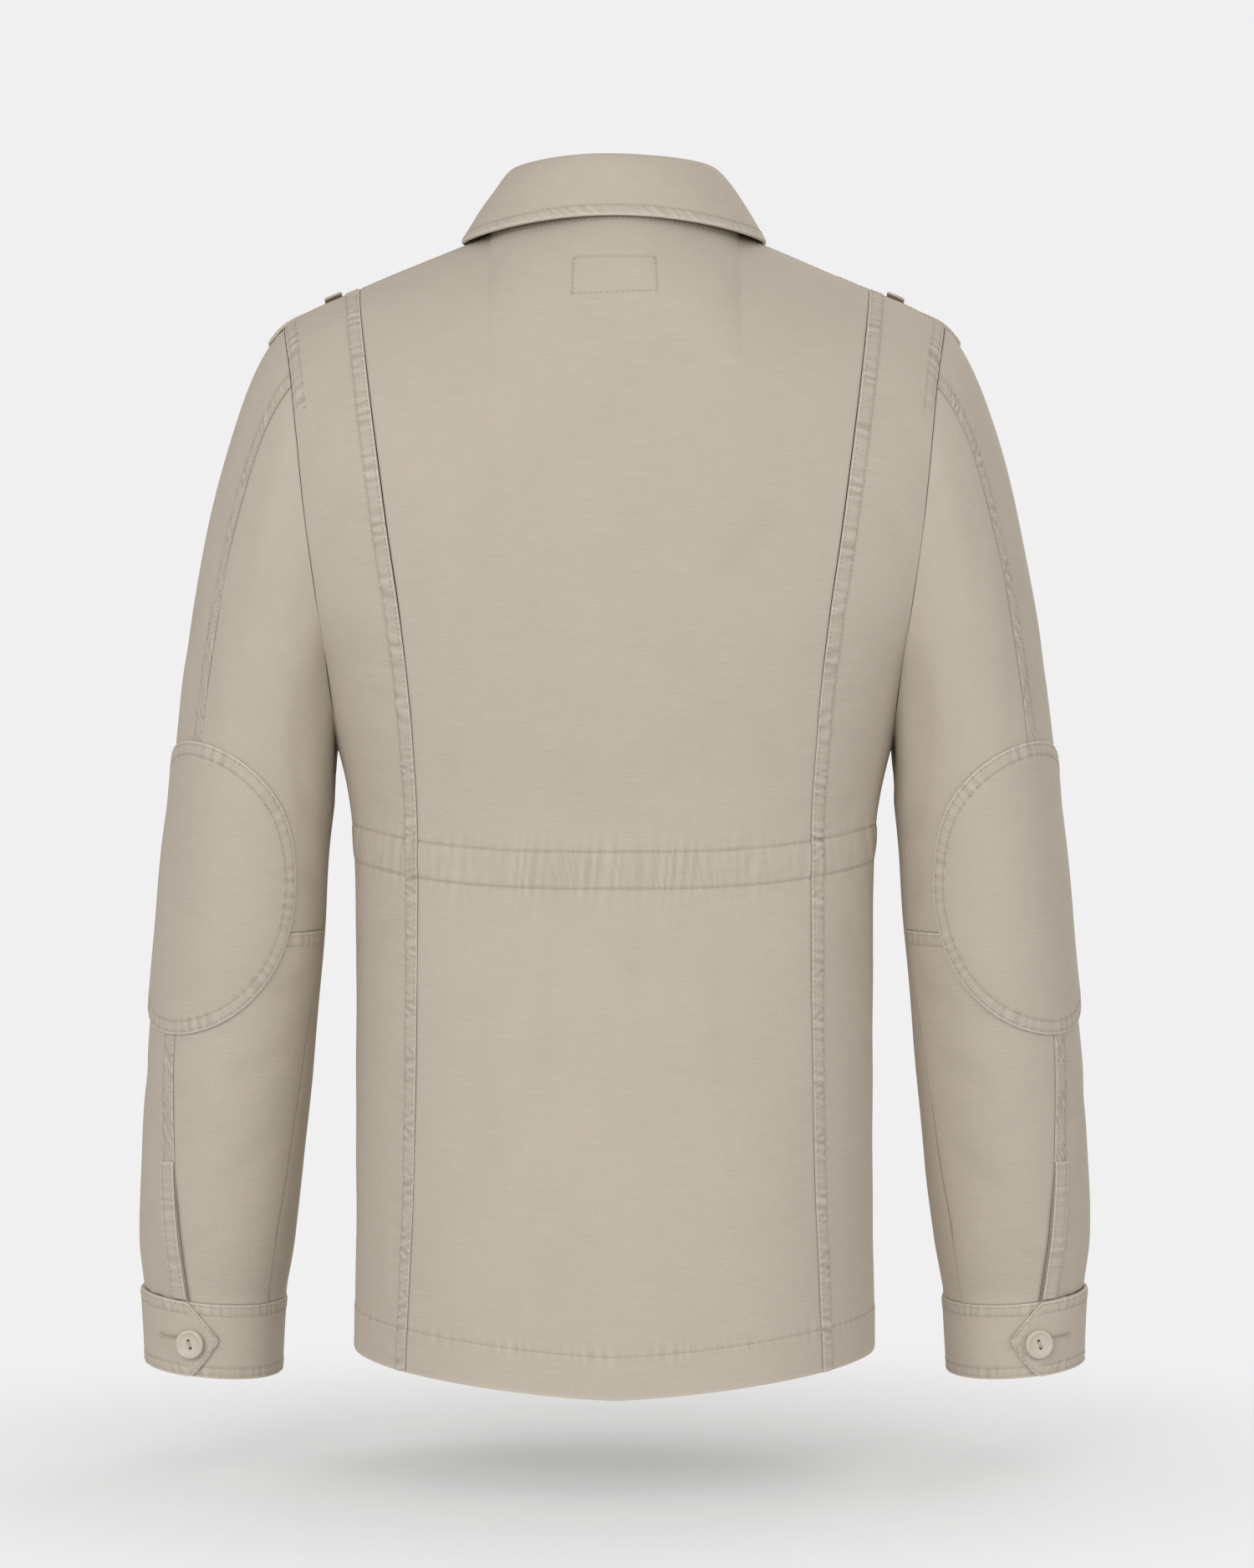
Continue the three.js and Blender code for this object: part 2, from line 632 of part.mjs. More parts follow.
function underSleeves() {
  const row = (level, inCap) => {
    const { outer, under } = seamAngles(level, inCap);
    return sleeveRow(level, inCap, under + edgeTurn, outer - edgeTurn, underSleeveColumns);
  };
  const upper = capLevels.map((share) => row(share, true));
  upper.push(...armLevels.map((z) => row(z === elbowLevel ? z + seamGap / 2 : z, false)));
  addPair('undersleeve_upper', wall(upper, clothWall));
  const lower = foreLevels.map((z) => row(z === elbowLevel ? z - seamGap / 2 : z, false));
  addPair('undersleeve_lower', wall(lower, clothWall));
}

// The patch spreads from the sleeve's outer seam, on the sleeve's own surface, moved out
function patchPlace(u, v) {
  const { middle, halfHeight, halfAngle, lean, wall: thickness } = patch;
  const discU = u * Math.sqrt(1 - v ** 2 / 2);
  const discV = v * Math.sqrt(1 - u ** 2 / 2);
  const z = middle + halfHeight * discV;
  const angle = outerSeamAngle(z) + lean + lean * discV + halfAngle * discU;
  const inCap = z > capFoot;
  let place = sleevePlace(angle * degrees, z);
  if (inCap) {
    // Above the cap's foot the same height is found on the cap
    let low = 0;
    let high = 1;
    for (let i = 0; i < halvings; i += 1) {
      const middleShare = (low + high) / 2;
      if (capPoint(angle * degrees, middleShare).z > z) low = middleShare;
      else high = middleShare;
    }
    place = sleevePlace(angle * degrees, (low + high) / 2);
  }
  place.point.addScaledVector(place.out, patchGap + thickness);
  return place;
}

function elbowPatch() {
  const rows = [];
  for (let i = 0; i <= patch.down; i += 1) {
    const places = [];
    for (let j = 0; j <= patch.across; j += 1) {
      places.push(patchPlace((2 * j) / patch.across - 1, (2 * i) / patch.down - 1));
    }
    rows.push(places);
  }
  addPair('elbow_patch', wall(rows, patch.wall), colours.patchTwill);
}

// The bound edge beside the slit, on the top sleeve
function sleevePlacket() {
  const rows = [];
  for (let i = 0; i <= placket.rows; i += 1) {
    const level = mix(slitHead + placket.above, placket.foot, i / placket.rows);
    const places = [];
    for (let j = 0; j <= 2; j += 1) {
      const angle = outerSeamAngle(level) * degrees + (j * placket.width) / placket.radius + placket.clear;
      const place = sleevePlace(angle, i === placket.rows ? cuffSeamHeight(angle) + 1 : level);
      place.point.addScaledVector(place.out, seatGap + placket.wall);
      places.push(place);
    }
    rows.push(places);
  }
  addPair('sleeve_placket', wall(rows, placket.wall));
}

// A cuff is one strip wound once round the wrist, its pointed end lying over its start
function cuffPlace(angle, share, lift) {
  const z = cuffSeamHeight(angle) - seamGap - cuffDepth * share;
  const ring = ringAt(cuffSeam);
  const out = new THREE.Vector3(Math.sin(angle) / ring.halfWidth, Math.cos(angle) / ring.halfDepth, 0).normalize();
  const x = ring.across + (ring.halfWidth - cuffTaper * share) * Math.sin(angle);
  const y = ring.forward + (ring.halfDepth - cuffTaper * share) * Math.cos(angle);
  return { point: new THREE.Vector3(x, y, z).addScaledVector(out, cuffStand + lift), out };
}

function cuff() {
  const lapLift = cuffWall + lapGap;
  const rows = [];
  for (let i = 0; i <= cuffSteps; i += 1) {
    const angle = mix(cuffStart, tab.corner - 360, i / cuffSteps);
    const lift = lapLift * ease((-angle - cuffLap.from) / cuffLap.over);
    rows.push(cuffHeights.map((share) => cuffPlace(angle * degrees, share, lift)));
  }
  for (let i = 1; i <= tab.steps; i += 1) {
    const share = i / tab.steps;
    const angle = tab.corner - 360 - tab.reach * share;
    const top = tab.top * share;
    const bottom = 1 - tab.bottom * share ** tab.roundness;
    rows.push(cuffHeights.map((height) => cuffPlace(angle * degrees, mix(top, bottom, height), lapLift)));
  }
  addPair('cuff', wall(rows, cuffWall));
}

// A button turned about its axis, with a raised rim and a sunk middle
function buttonGeometry(centre, out) {
  const { radius, thickness, rim, slope, recess, foot, head, sides } = button;
  const profile = [
    [0, 0],
    [radius * foot, 0],
    [radius, thickness / 2],
    [radius * head, thickness],
    [radius - rim, thickness],
    [radius - rim - slope, thickness - recess],
    [0, thickness - recess],
  ].map(([r, h]) => new THREE.Vector2(r, h));
  const lathe = new THREE.LatheGeometry(profile, sides);
  lathe.applyQuaternion(new THREE.Quaternion().setFromUnitVectors(new THREE.Vector3(0, 1, 0), out));
  lathe.translate(centre.x, centre.y, centre.z);
  return lathe;
}

function cuffButtons() {
  const share = cuffButton.drop / cuffDepth;
  const place = cuffPlace(cuffButton.angle * degrees, share, cuffWall + lapGap + seatGap);
  const leftButton = buttonGeometry(place.point, place.out);
  const mirrored = new THREE.Vector3(-1, 1, 1);
  add('cuff_button_left', leftButton, colours.button);
  const rightButton = buttonGeometry(place.point.clone().multiply(mirrored), place.out.clone().multiply(mirrored));
  add('cuff_button_right', rightButton, colours.button);
}

function frontButtons() {
  frontButtonHeights.forEach((z, i) => {
    const out = bodyNormal(0, z, -1);
    const point = bodyPoint(0, z, -1).addScaledVector(out, doubleWall + lapGap + lapGap);
    add(`front_button_${i + 1}`, buttonGeometry(point, out), colours.button);
  });
}

// The body's neckline by angle round the neck, from the centre back to the centre front
function neckPlace(angle) {
  const half = Math.cos(angle) >= 0 ? 1 : -1;
  const x = neckHalfWidth * Math.sin(angle);
  const z = topEdge(x, half);
  const turn = turnOf(x, z);
  return { point: bodyPoint(turn, z, half), out: bodyNormal(turn, z, half) };
}

// The line where the collar folds, above the neckline
function foldPoint(angle) {
  const { point } = neckPlace(angle);
  const side = Math.sin(angle) ** 2;
  const shrink = standShrink.centre - standShrink.side * side;
  const rise = mix(Math.cos(angle) >= 0 ? standRise.back : standRise.front, standRise.side, side);
  return new THREE.Vector3(point.x * shrink, point.y * shrink, point.z + rise);
}

// The directions up the stand and out of it, both square to the fold
function standFrame(angle) {
  const neck = neckPlace(angle);
  const top = foldPoint(angle);
  const along = foldPoint(angle + probe.fold).sub(foldPoint(angle - probe.fold)).normalize();
  const up = top.clone().sub(neck.point);
  up.addScaledVector(along, -up.dot(along)).normalize();
  const out = along.clone().cross(up).normalize();
  if (out.dot(new THREE.Vector3(top.x, top.y, 0)) < 0) out.multiplyScalar(-1);
  return { neck, top, up, out };
}

function collarStand() {
  const rows = [];
  for (const turned of bothSides(neckAngles)) {
    const { neck, top, up, out } = standFrame(turned * degrees);
    const clear = mix(standGap.plain, standGap.side, Math.sin(turned * degrees) ** 8);
    const foot = neck.point.clone().addScaledVector(up, clear);
    const places = standRows.map((share) => ({ point: foot.clone().lerp(top, share), out }));
    places[0] = { point: foot, out: neck.out };
    rows.push(places);
  }
  add('collar_stand', wall(rows, clothWall));
}

// The leaf's free edge: round the back clear of the shoulders, then down the chest to its points
function leafEdgePoint(angle) {
  const turned = Math.abs(angle);
  const side = Math.sign(angle) || 1;
  if (turned <= Math.PI / 2) {
    const reach = Math.sin(turned);
    const z = mix(leafEdge.backHeight, leafEdge.sideHeight, reach ** 2);
    const y = leafEdge.back * (1 - reach ** leafEdge.roundness) ** (1 / leafEdge.roundness);
    return new THREE.Vector3(side * leafEdge.halfWidth * reach, y, z);
  }
  const forward = (turned / degrees - 90) / (collarEnd - 90);
  const x = mix(leafEdge.halfWidth, leafPoint.x, forward ** leafPoint.spread);
  const z = ridge(x) - leafPoint.drop * forward ** leafPoint.fall;
  const turn = turnOf(x, z);
  const point = bodyPoint(turn, z, -1);
  point.addScaledVector(bodyNormal(turn, z, -1), mix(leafPoint.sideLift, leafPoint.lift, ease(forward * 2)));
  point.x *= side;
  return point;
}

// The stand's frame at any angle, on the straight stretch between two of its columns
function foldFrame(angle) {
  const turned = clamp(angle / degrees, -collarEnd, collarEnd);
  const columns = bothSides(neckAngles);
  const column = Math.min(columns.filter((at) => at <= turned).length, columns.length - 1) - 1;
  const near = standFrame(columns[column] * degrees);
  const far = standFrame(columns[column + 1] * degrees);
  const share = (turned - columns[column]) / (columns[column + 1] - columns[column]);
  const blend = (key) => near[key].clone().lerp(far[key], share);
  return { top: blend('top'), up: blend('up').normalize(), out: blend('out').normalize() };
}

function leafPoints(angle, share) {
  const { top, up, out } = foldFrame(angle);
  const edge = leafEdgePoint(angle);
  const start = top.clone().addScaledVector(out, -clothWall).addScaledVector(up, fold.above);
  const bend = top.clone().addScaledVector(out, fold.out).addScaledVector(up, fold.up);
  const point = start.multiplyScalar((1 - share) ** 2);
  point.addScaledVector(bend, 2 * share * (1 - share));
  return point.addScaledVector(edge, share ** 2);
}

function collarLeaf() {
  const rows = [];
  const halves = neckAngles.slice(1).flatMap((angle, i) => [(neckAngles[i] + angle) / 2, angle]);
  for (const turned of bothSides([0, ...halves])) {
    const angle = turned * degrees;
    const places = leafRows.map((share) => {
      const inset = clamp(turned, 2 - collarEnd, collarEnd - 2) * degrees;
      const out = outward(leafPoints, inset, share, probe.round, probe.leaf);
      if (out.dot(foldFrame(angle).up) < 0) out.multiplyScalar(-1);
      return { point: leafPoints(angle, share), out };
    });
    rows.push(places);
  }
  add('collar_leaf', wall(rows, doubleWall));
}

// Height of the shoulder's surface at a place, before or behind the shoulder line
function shoulderSurface(x, y) {
  let high = ridge(x);
  let low = high - shoulderRounding.atArm;
  for (let i = 0; i < halvings; i += 1) {
    const middle = (low + high) / 2;
    if (Math.abs(bodyPoint(turnOf(x, middle), middle, Math.sign(y)).y) > Math.abs(y)) low = middle;
    else high = middle;
  }
  return (low + high) / 2;
}

// A point of the strap's upper face, or above it
function strapPlace(x, across, above) {
  const y = strap.back - strap.width * across;
  const resting = Math.min(x, strap.liftStart);
  const drape = shoulderSurface(resting, y) - ridge(resting);
  return new THREE.Vector3(x, y, strapHeight(x) + drape + above);
}

function shoulderStrap() {
  const tip = strapRise[strapRise.length - 1].x;
  const rows = (above) =>
    strapStations.map((share) => {
      const x = mix(strap.neckEnd, tip, share);
      return strapWidths.map((across) => strapPlace(x, across, above));
    });
  addPair('shoulder_strap', wallGeometry(rows(0), rows(-strap.wall)));
}

function strapCarrier() {
  const widths = [-carrier.overhang, ...strapWidths, 1 + carrier.overhang];
  const rows = (above) =>
    [0, 0.5, 1].map((share) => widths.map((across) => strapPlace(mix(carrier.from, carrier.to, share), across, above)));
  addPair('strap_carrier', wallGeometry(rows(seatGap + carrier.wall), rows(seatGap)));
}

backCentrePanel();
backSidePanel();
frontPanel('front_left', 1, false);
frontPanel('front_right', -1, true);
topSleeve();
underSleeves();
elbowPatch();
sleevePlacket();
cuff();
cuffButtons();
frontButtons();
collarStand();
collarLeaf();
shoulderStrap();
strapCarrier();

export default jacket;
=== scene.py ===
"""A woman's field jacket in washed cotton twill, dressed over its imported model.

Every sewn piece is a thin shell on the form of its solid, with its seams, puckers, gathers and stitches.
Sizes are millimetres until a mesh is made. The front faces -Y and the wearer's left is towards +X.
"""

import json
import logging
import math
from dataclasses import dataclass
from enum import Enum
from typing import Any, Callable, Optional

import bpy
import numpy as np
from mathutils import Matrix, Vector

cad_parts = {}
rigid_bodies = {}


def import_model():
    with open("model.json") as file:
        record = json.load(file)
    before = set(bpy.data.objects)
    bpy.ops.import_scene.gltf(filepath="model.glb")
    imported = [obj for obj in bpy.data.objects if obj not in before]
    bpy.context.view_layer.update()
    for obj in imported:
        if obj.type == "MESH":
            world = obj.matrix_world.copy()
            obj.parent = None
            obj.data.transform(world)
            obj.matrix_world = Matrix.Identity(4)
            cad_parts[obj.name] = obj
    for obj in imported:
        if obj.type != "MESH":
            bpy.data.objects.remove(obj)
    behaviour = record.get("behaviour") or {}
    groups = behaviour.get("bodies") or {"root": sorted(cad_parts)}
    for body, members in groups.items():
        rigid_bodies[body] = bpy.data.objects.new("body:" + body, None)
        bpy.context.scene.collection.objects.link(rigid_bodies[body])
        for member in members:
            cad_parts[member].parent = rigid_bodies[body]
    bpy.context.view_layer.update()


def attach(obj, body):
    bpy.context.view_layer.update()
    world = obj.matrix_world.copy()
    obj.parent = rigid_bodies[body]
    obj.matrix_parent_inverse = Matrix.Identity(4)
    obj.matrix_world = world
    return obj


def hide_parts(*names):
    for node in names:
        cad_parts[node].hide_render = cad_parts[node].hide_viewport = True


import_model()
LOG = logging.getLogger("field_jacket")

Array = np.ndarray
MM = 0.001
PI = math.pi
HALF_TURN = PI / 2
TURN = 2 * PI

# Heights of the body's sections: height, half width, depth behind and depth before the shoulders
BODY_SECTIONS = [
    (-690, 152.5, 140, 118),
    (-640, 152, 139, 118),
    (-560, 151, 131, 116),
    (-480, 151, 116, 113),
    (-413, 151.5, 103, 110),
    (-372, 152, 96, 108),
    (-345, 153.5, 96.5, 109),
    (-325, 156.5, 98, 112),
    (-298, 163, 101, 117),
    (-256, 177, 104, 121),
    (-215, 202, 106, 119),
    (-170, 220, 106, 113),
    (-106, 226, 100, 100),
    (-40, 226, 90, 87),
    (30, 226, 80, 76),
]
# Along the shoulder: place across and height
SHOULDER_LINE = [(72, -1.5), (110, -17.5), (150, -34.3), (179, -47), (190, -54.2), (197, -60.5)]
# Down the armhole, and down the shaped back seam: height and place across
ARMHOLE_LINE = [(-298, 162.6), (-282, 163.2), (-256, 166), (-215, 171.5), (-170, 177.5), (-106, 184.5), (-80, 188.2)]
BACK_SEAM = [
    (-690, 120),
    (-618, 117.5),
    (-543, 114.5),
    (-413, 113),
    (-357, 113),
    (-294, 116),
    (-230, 122.5),
    (-181, 129.5),
    (-106, 139.5),
    (-50, 147),
    (-30, 149.5),
]
# Rings of the sleeve: height, centre across, centre forward, half width and half depth
SLEEVE_RINGS = [
    (-335, 212, 0, 48.1, 66),
    (-365, 215.3, 0, 48.4, 64),
    (-408, 218.6, 0, 48.9, 61.5),
    (-473, 224.6, -6, 48.9, 57),
    (-546, 230.6, -15, 48, 52),
    (-590, 234, -21, 46, 48.5),
    (-622.5, 235.4, -26, 41.4, 44),
]
# The sleeve's long seams: height, and the angles in degrees of the outer and the under seam
SLEEVE_SEAMS = [
    (-630, 18, -52),
    (-590, 25, -52),
    (-546, 31.5, -57),
    (-466, 39, -69),
    (-408, 39, -81),
    (-335, 38, -87),
]
# The loose strap's upper face: place across and height
STRAP_RISE = [(130, -23.2), (179, -43.9), (190.6, -49.2), (197.5, -54.6), (204, -62.5)]

CLOTH_WALL = 1.6
DOUBLE_WALL = 2.0
SEAM_GAP = 0.3
SEAT_GAP = 0.55
LAP_GAP = 0.4
SHOULDER_POINT = 193.0
NECK_HALF_WIDTH = 72.0
ARMPIT = -298.0
SEAM_TURN = 0.85
FRONT_LAP = 20.0
CAP_FOOT = -335.0
ELBOW = -408.0
SLIT_HEAD = -546.0
CUFF_SEAM = -622.5


def mix(start: Any, end: Any, share: Any) -> Any:
    """A value part of the way from start to end."""
    return start + (end - start) * share


def ease(value: Any) -> Array:
    """A smooth step from 0 to 1."""
    t = np.clip(value, 0, 1)
    return t * t * (3 - 2 * t)


def groove(distance: Array, width: float) -> Array:
    """A soft valley or ridge, 1 at its middle and gone about twice its width away."""
    return np.exp(-((distance / width) ** 2))


def ripple(along: Array, pitch: float, seed: float) -> Array:
    """A wave of uneven pitch and strength, the same each time for the same seed.

    Args:
        along: distance along the line that the wave runs on, in mm.
        pitch: mean distance between two crests.
        seed: any number, which shifts the wave's unevenness.

    Returns:
        Heights between -1 and 1.
    """
    sway = 1.25 * np.sin(TURN * along / (pitch * 4.7) + 2.1 * seed) + 0.8 * np.sin(TURN * along / (pitch * 2.3) + seed)
    strength = 0.6 + 0.4 * np.sin(TURN * along / (pitch * 6.9) + 3.7 * seed)
    return strength * np.sin(TURN * along / pitch + sway + 5.3 * seed)


def vector(x: Any, y: Any, z: Any) -> Array:
    """Points from three arrays of coordinates that fit together."""
    return np.stack(np.broadcast_arrays(x, y, z), axis=-1).astype(float)


def unit(vectors: Array) -> Array:
    """The same directions at length 1."""
    return vectors / np.maximum(np.linalg.norm(vectors, axis=-1, keepdims=True), 1e-9)


def spread(start: float, end: float, coarse: float, marks: tuple[float, ...] = (), fine: float = 0.9,
           reach: float = 2.5) -> Array:
    """Grid lines from start to end, coarse apart, and closer together near each mark.

    Args:
        start: first line.
        end: last line, above start.
        coarse: distance between lines away from the marks.
        marks: places that need close lines.
        fine: distance between lines at a mark.
        reach: how far each side of a mark the lines stay close.

    Returns:
        The lines' places.
    """
    at = start
    lines = [start]
    while at < end:
        near = min((abs(at - mark) for mark in marks), default=reach * 9)
        at += mix(fine, coarse, float(ease((near - reach) / (2 * reach))))
        lines.append(at)
    places = np.array(lines)
    return start + (places - start) * (end - start) / (places[-1] - start)


class Profile:
    """A smooth curve through a table's rows, level beyond its ends."""

    def __init__(self, places: list[float], values: list[float]) -> None:
        """Keeps the rows in rising order, with the curve's slope at each."""
        order = np.argsort(places)
        self.places = np.array(places, float)[order]
        self.values = np.array(values, float)[order]
        rise = np.diff(self.values) / np.diff(self.places)
        both = rise[:-1] * rise[1:]
        inner = np.divide(2 * both, rise[:-1] + rise[1:], out=np.zeros_like(both), where=both > 0)
        self.slopes = np.concatenate([rise[:1], inner, rise[-1:]])

    def __call__(self, place: Any) -> Array:
        """The curve's value at a place."""
        at = np.clip(place, self.places[0], self.places[-1])
        i = np.clip(np.searchsorted(self.places, at, side="right") - 1, 0, len(self.places) - 2)
        span = self.places[i + 1] - self.places[i]
        t = (at - self.places[i]) / span
        ends = (2 * t**3 - 3 * t**2 + 1) * self.values[i] + (3 * t**2 - 2 * t**3) * self.values[i + 1]
        bends = (t**3 - 2 * t**2 + t) * self.slopes[i] + (t**3 - t**2) * self.slopes[i + 1]
        return ends + span * bends


def profiles(table: list[tuple[float, ...]]) -> list[Profile]:
    """A curve for each column after a table's first."""
    columns = list(zip(*table))
    return [Profile(columns[0], column) for column in columns[1:]]


HALF_WIDTH, BACK_DEPTH, FRONT_DEPTH = profiles(BODY_SECTIONS)
(SHOULDER_HEIGHT,) = profiles(SHOULDER_LINE)
(ARMHOLE_X,) = profiles([*ARMHOLE_LINE, (float(SHOULDER_HEIGHT(SHOULDER_POINT)), SHOULDER_POINT)])
(BACK_SEAM_X,) = profiles(BACK_SEAM)
RING_ACROSS, RING_FORWARD, RING_WIDTH, RING_DEPTH = profiles(SLEEVE_RINGS)
OUTER_SEAM, UNDER_SEAM = profiles(SLEEVE_SEAMS)
(STRAP_HEIGHT,) = profiles(STRAP_RISE)
BACK_SEAM_TOP = float(BACK_SEAM[-1][1])


class Side(Enum):
    """The wearer's two sides. Pieces are laid out for the left and mirrored for the right."""

    LEFT = 1
    RIGHT = -1

    @property
    def word(self) -> str:
        """The side's name, as the nodes end in it."""
        return self.name.lower()

    @property
    def seed(self) -> float:
        """A shift of the folds' seeds, so the two sides aren't alike."""
        return 0.0 if self is Side.LEFT else 0.47


class Half(Enum):
    """The back and the front of the body."""

    BACK = 1
    FRONT = -1


def node(tree: bpy.types.NodeTree, kind: str, inputs: Optional[dict] = None, **settings: Any) -> bpy.types.Node:
    """Adds a node with its settings and links.

    Args:
        tree: the node tree that it goes into.
        kind: the node's type.
        inputs: a value or another node's output for each socket, by its name or number.
        settings: the node's own properties.

    Returns:
        The new node.
    """
    made = tree.nodes.new(kind)
    for name, value in settings.items():
        setattr(made, name, value)
    for socket, value in (inputs or {}).items():
        if isinstance(value, bpy.types.NodeSocket):
            tree.links.new(value, made.inputs[socket])
        else:
            made.inputs[socket].default_value = value
    return made


def colour(hex_value: str) -> tuple[float, float, float, float]:
    """A linear colour from an sRGB hex value such as BFB4A4."""
    parts = [int(hex_value[i : i + 2], 16) / 255 for i in (0, 2, 4)]
    return (*[part / 12.92 if part <= 0.04045 else ((part + 0.055) / 1.055) ** 2.4 for part in parts], 1.0)


@dataclass(frozen=True)
class WashedTwill:
    """Cotton twill that was coloured in the vat, sewn and then washed as a garment.

    Washing leaves soft mottles and pale, abraded edges. Light and shade are also painted into the colour: a pale
    highlight on turned edges and pucker crests, and darker shade in the seams, stitch grooves, folds and pucker
    valleys. Cotton has no gloss, only a faint bloom of loose fibre at a low angle, and uneven weft shows as fine
    streaks across the piece.
    """

    name: str
    ground: str
    # A pale colour for abraded wear and for painted highlights on turned edges and pucker crests, then a dark colour
    # for painted shade in seams, grooves, folds and pucker valleys
    rubbed: str = "DDD4C8"
    hollow: str = "8F8576"
    roughness: float = 0.92
    ior: float = 1.47
    fibre_bloom: float = 0.16
    # The real twill line is 0.5 mm wide. It is drawn at 1.1 mm, so that it shows in the render.
    twill_line: float = 1.1
    twill_slope: float = 58.0
    streak: tuple[float, float] = (26.0, 0.9)
    mottle: float = 38.0
    patch: float = 9.0
    fleck: float = 0.8

    def make(self) -> bpy.types.Material:
        """Builds the material.

        Returns:
            A material that reads the UV map "cloth", where 1 is 100 mm, and the attribute "shade".
        """
        material = bpy.data.materials.new(self.name)
        material.use_nodes = True
        tree = material.node_tree
        tree.nodes.clear()
        cloth = node(tree, "ShaderNodeUVMap", uv_map="cloth").outputs["UV"]
        place = node(tree, "ShaderNodeTexCoord").outputs["Object"]
        turned = node(tree, "ShaderNodeMapping", {"Vector": cloth, "Rotation": (0, 0, math.radians(self.twill_slope))})
        # A wave texture repeats every pi / 10 at scale 1
        wave_scale = PI / 10 / (self.twill_line / 100)
        lines = node(tree, "ShaderNodeTexWave", {"Vector": turned.outputs[0], "Scale": wave_scale,
                                                 "Distortion": 1.2, "Detail": 1.0, "Detail Scale": 2.0})
        long, thin = self.streak
        drawn_out = node(tree, "ShaderNodeMapping", {"Vector": cloth, "Scale": (100 / long, 100 / thin, 1)})
        streaks = node(tree, "ShaderNodeTexNoise", {"Vector": drawn_out.outputs[0], "Scale": 1.0, "Detail": 2.0})
        flecks = node(tree, "ShaderNodeTexNoise", {"Vector": cloth, "Scale": 100 / self.fleck, "Detail": 1.0})
        clouds = node(tree, "ShaderNodeTexNoise", {"Vector": place, "Scale": 1 / (self.mottle * MM), "Detail": 3.0})
        blots = node(tree, "ShaderNodeTexNoise", {"Vector": place, "Scale": 1 / (self.patch * MM), "Detail": 2.0})
        strengths = {lines: 0.05, streaks: 0.13, flecks: 0.24, clouds: 0.07, blots: 0.05}
        level: Any = 1 - sum(strengths.values()) / 2
        for source, strength in strengths.items():
            inputs = {0: source.outputs["Fac"], 1: strength, 2: level}
            level = node(tree, "ShaderNodeMath", inputs, operation="MULTIPLY_ADD").outputs[0]
        ground = node(tree, "ShaderNodeVectorMath", {0: colour(self.ground)[:3], "Scale": level}, operation="SCALE")
        # The shade attribute paints light and shade into the colour: below 0 it darkens towards the painted-shade
        # colour, and above 0 it pales towards the colour of abrasion and painted highlights
        shade = node(tree, "ShaderNodeAttribute", attribute_name="shade").outputs["Fac"]
        pale = node(tree, "ShaderNodeMath", {0: shade, 1: 0.75}, operation="MULTIPLY", use_clamp=True)
        dark = node(tree, "ShaderNodeMath", {0: shade, 1: -0.8}, operation="MULTIPLY", use_clamp=True)
        shaded = node(tree, "ShaderNodeMix", {0: dark.outputs[0], 6: ground.outputs[0], 7: colour(self.hollow)},
                    data_type="RGBA")
        abraded_and_lit = node(tree, "ShaderNodeMix", {0: pale.outputs[0], 6: shaded.outputs[2], 7: colour(self.rubbed)},
                    data_type="RGBA")
        weave = node(tree, "ShaderNodeMath", {0: lines.outputs["Fac"], 1: 0.5, 2: streaks.outputs["Fac"]},
                     operation="MULTIPLY_ADD")
        bump = node(tree, "ShaderNodeBump", {"Strength": 0.5, "Distance": 0.25 * MM, "Height": weave.outputs[0]})
        shader = node(tree, "ShaderNodeBsdfPrincipled", {
            "Base Color": abraded_and_lit.outputs[2], "Roughness": self.roughness, "IOR": self.ior,
            "Specular IOR Level": 0.25, "Sheen Weight": self.fibre_bloom, "Sheen Roughness": 0.6,
            "Sheen Tint": colour(self.rubbed), "Normal": bump.outputs[0]})
        node(tree, "ShaderNodeOutputMaterial", {"Surface": shader.outputs[0]})
        return material


@dataclass(frozen=True)
class SewingThread:
    """Spun polyester sewing thread in a matching colour: two twisted plies, so faint slanting bands, with the furrows
    between them painted darker as shade, and no gloss.
    """

    name: str = "sewing_thread"
    ground: str = "CDC2B3"
    # Darker colour painted into the furrows between the plies as shade
    furrow: str = "A69B8B"
    roughness: float = 0.7
    ply: float = 0.5

    def make(self) -> bpy.types.Material:
        """Builds the material, with the plies' furrows painted darker as shade by a fine noise at the real size."""
        material = bpy.data.materials.new(self.name)
        material.use_nodes = True
        tree = material.node_tree
        tree.nodes.clear()
        place = node(tree, "ShaderNodeTexCoord").outputs["Object"]
        plies = node(tree, "ShaderNodeTexNoise", {"Vector": place, "Scale": 1 / (self.ply * MM), "Detail": 1.0})
        dye = node(tree, "ShaderNodeMix", {0: plies.outputs["Fac"], 6: colour(self.furrow), 7: colour(self.ground)},
                   data_type="RGBA")
        shader = node(tree, "ShaderNodeBsdfPrincipled", {
            "Base Color": dye.outputs[2], "Roughness": self.roughness, "IOR": 1.55, "Specular IOR Level": 0.35})
        node(tree, "ShaderNodeOutputMaterial", {"Surface": shader.outputs[0]})
        return material


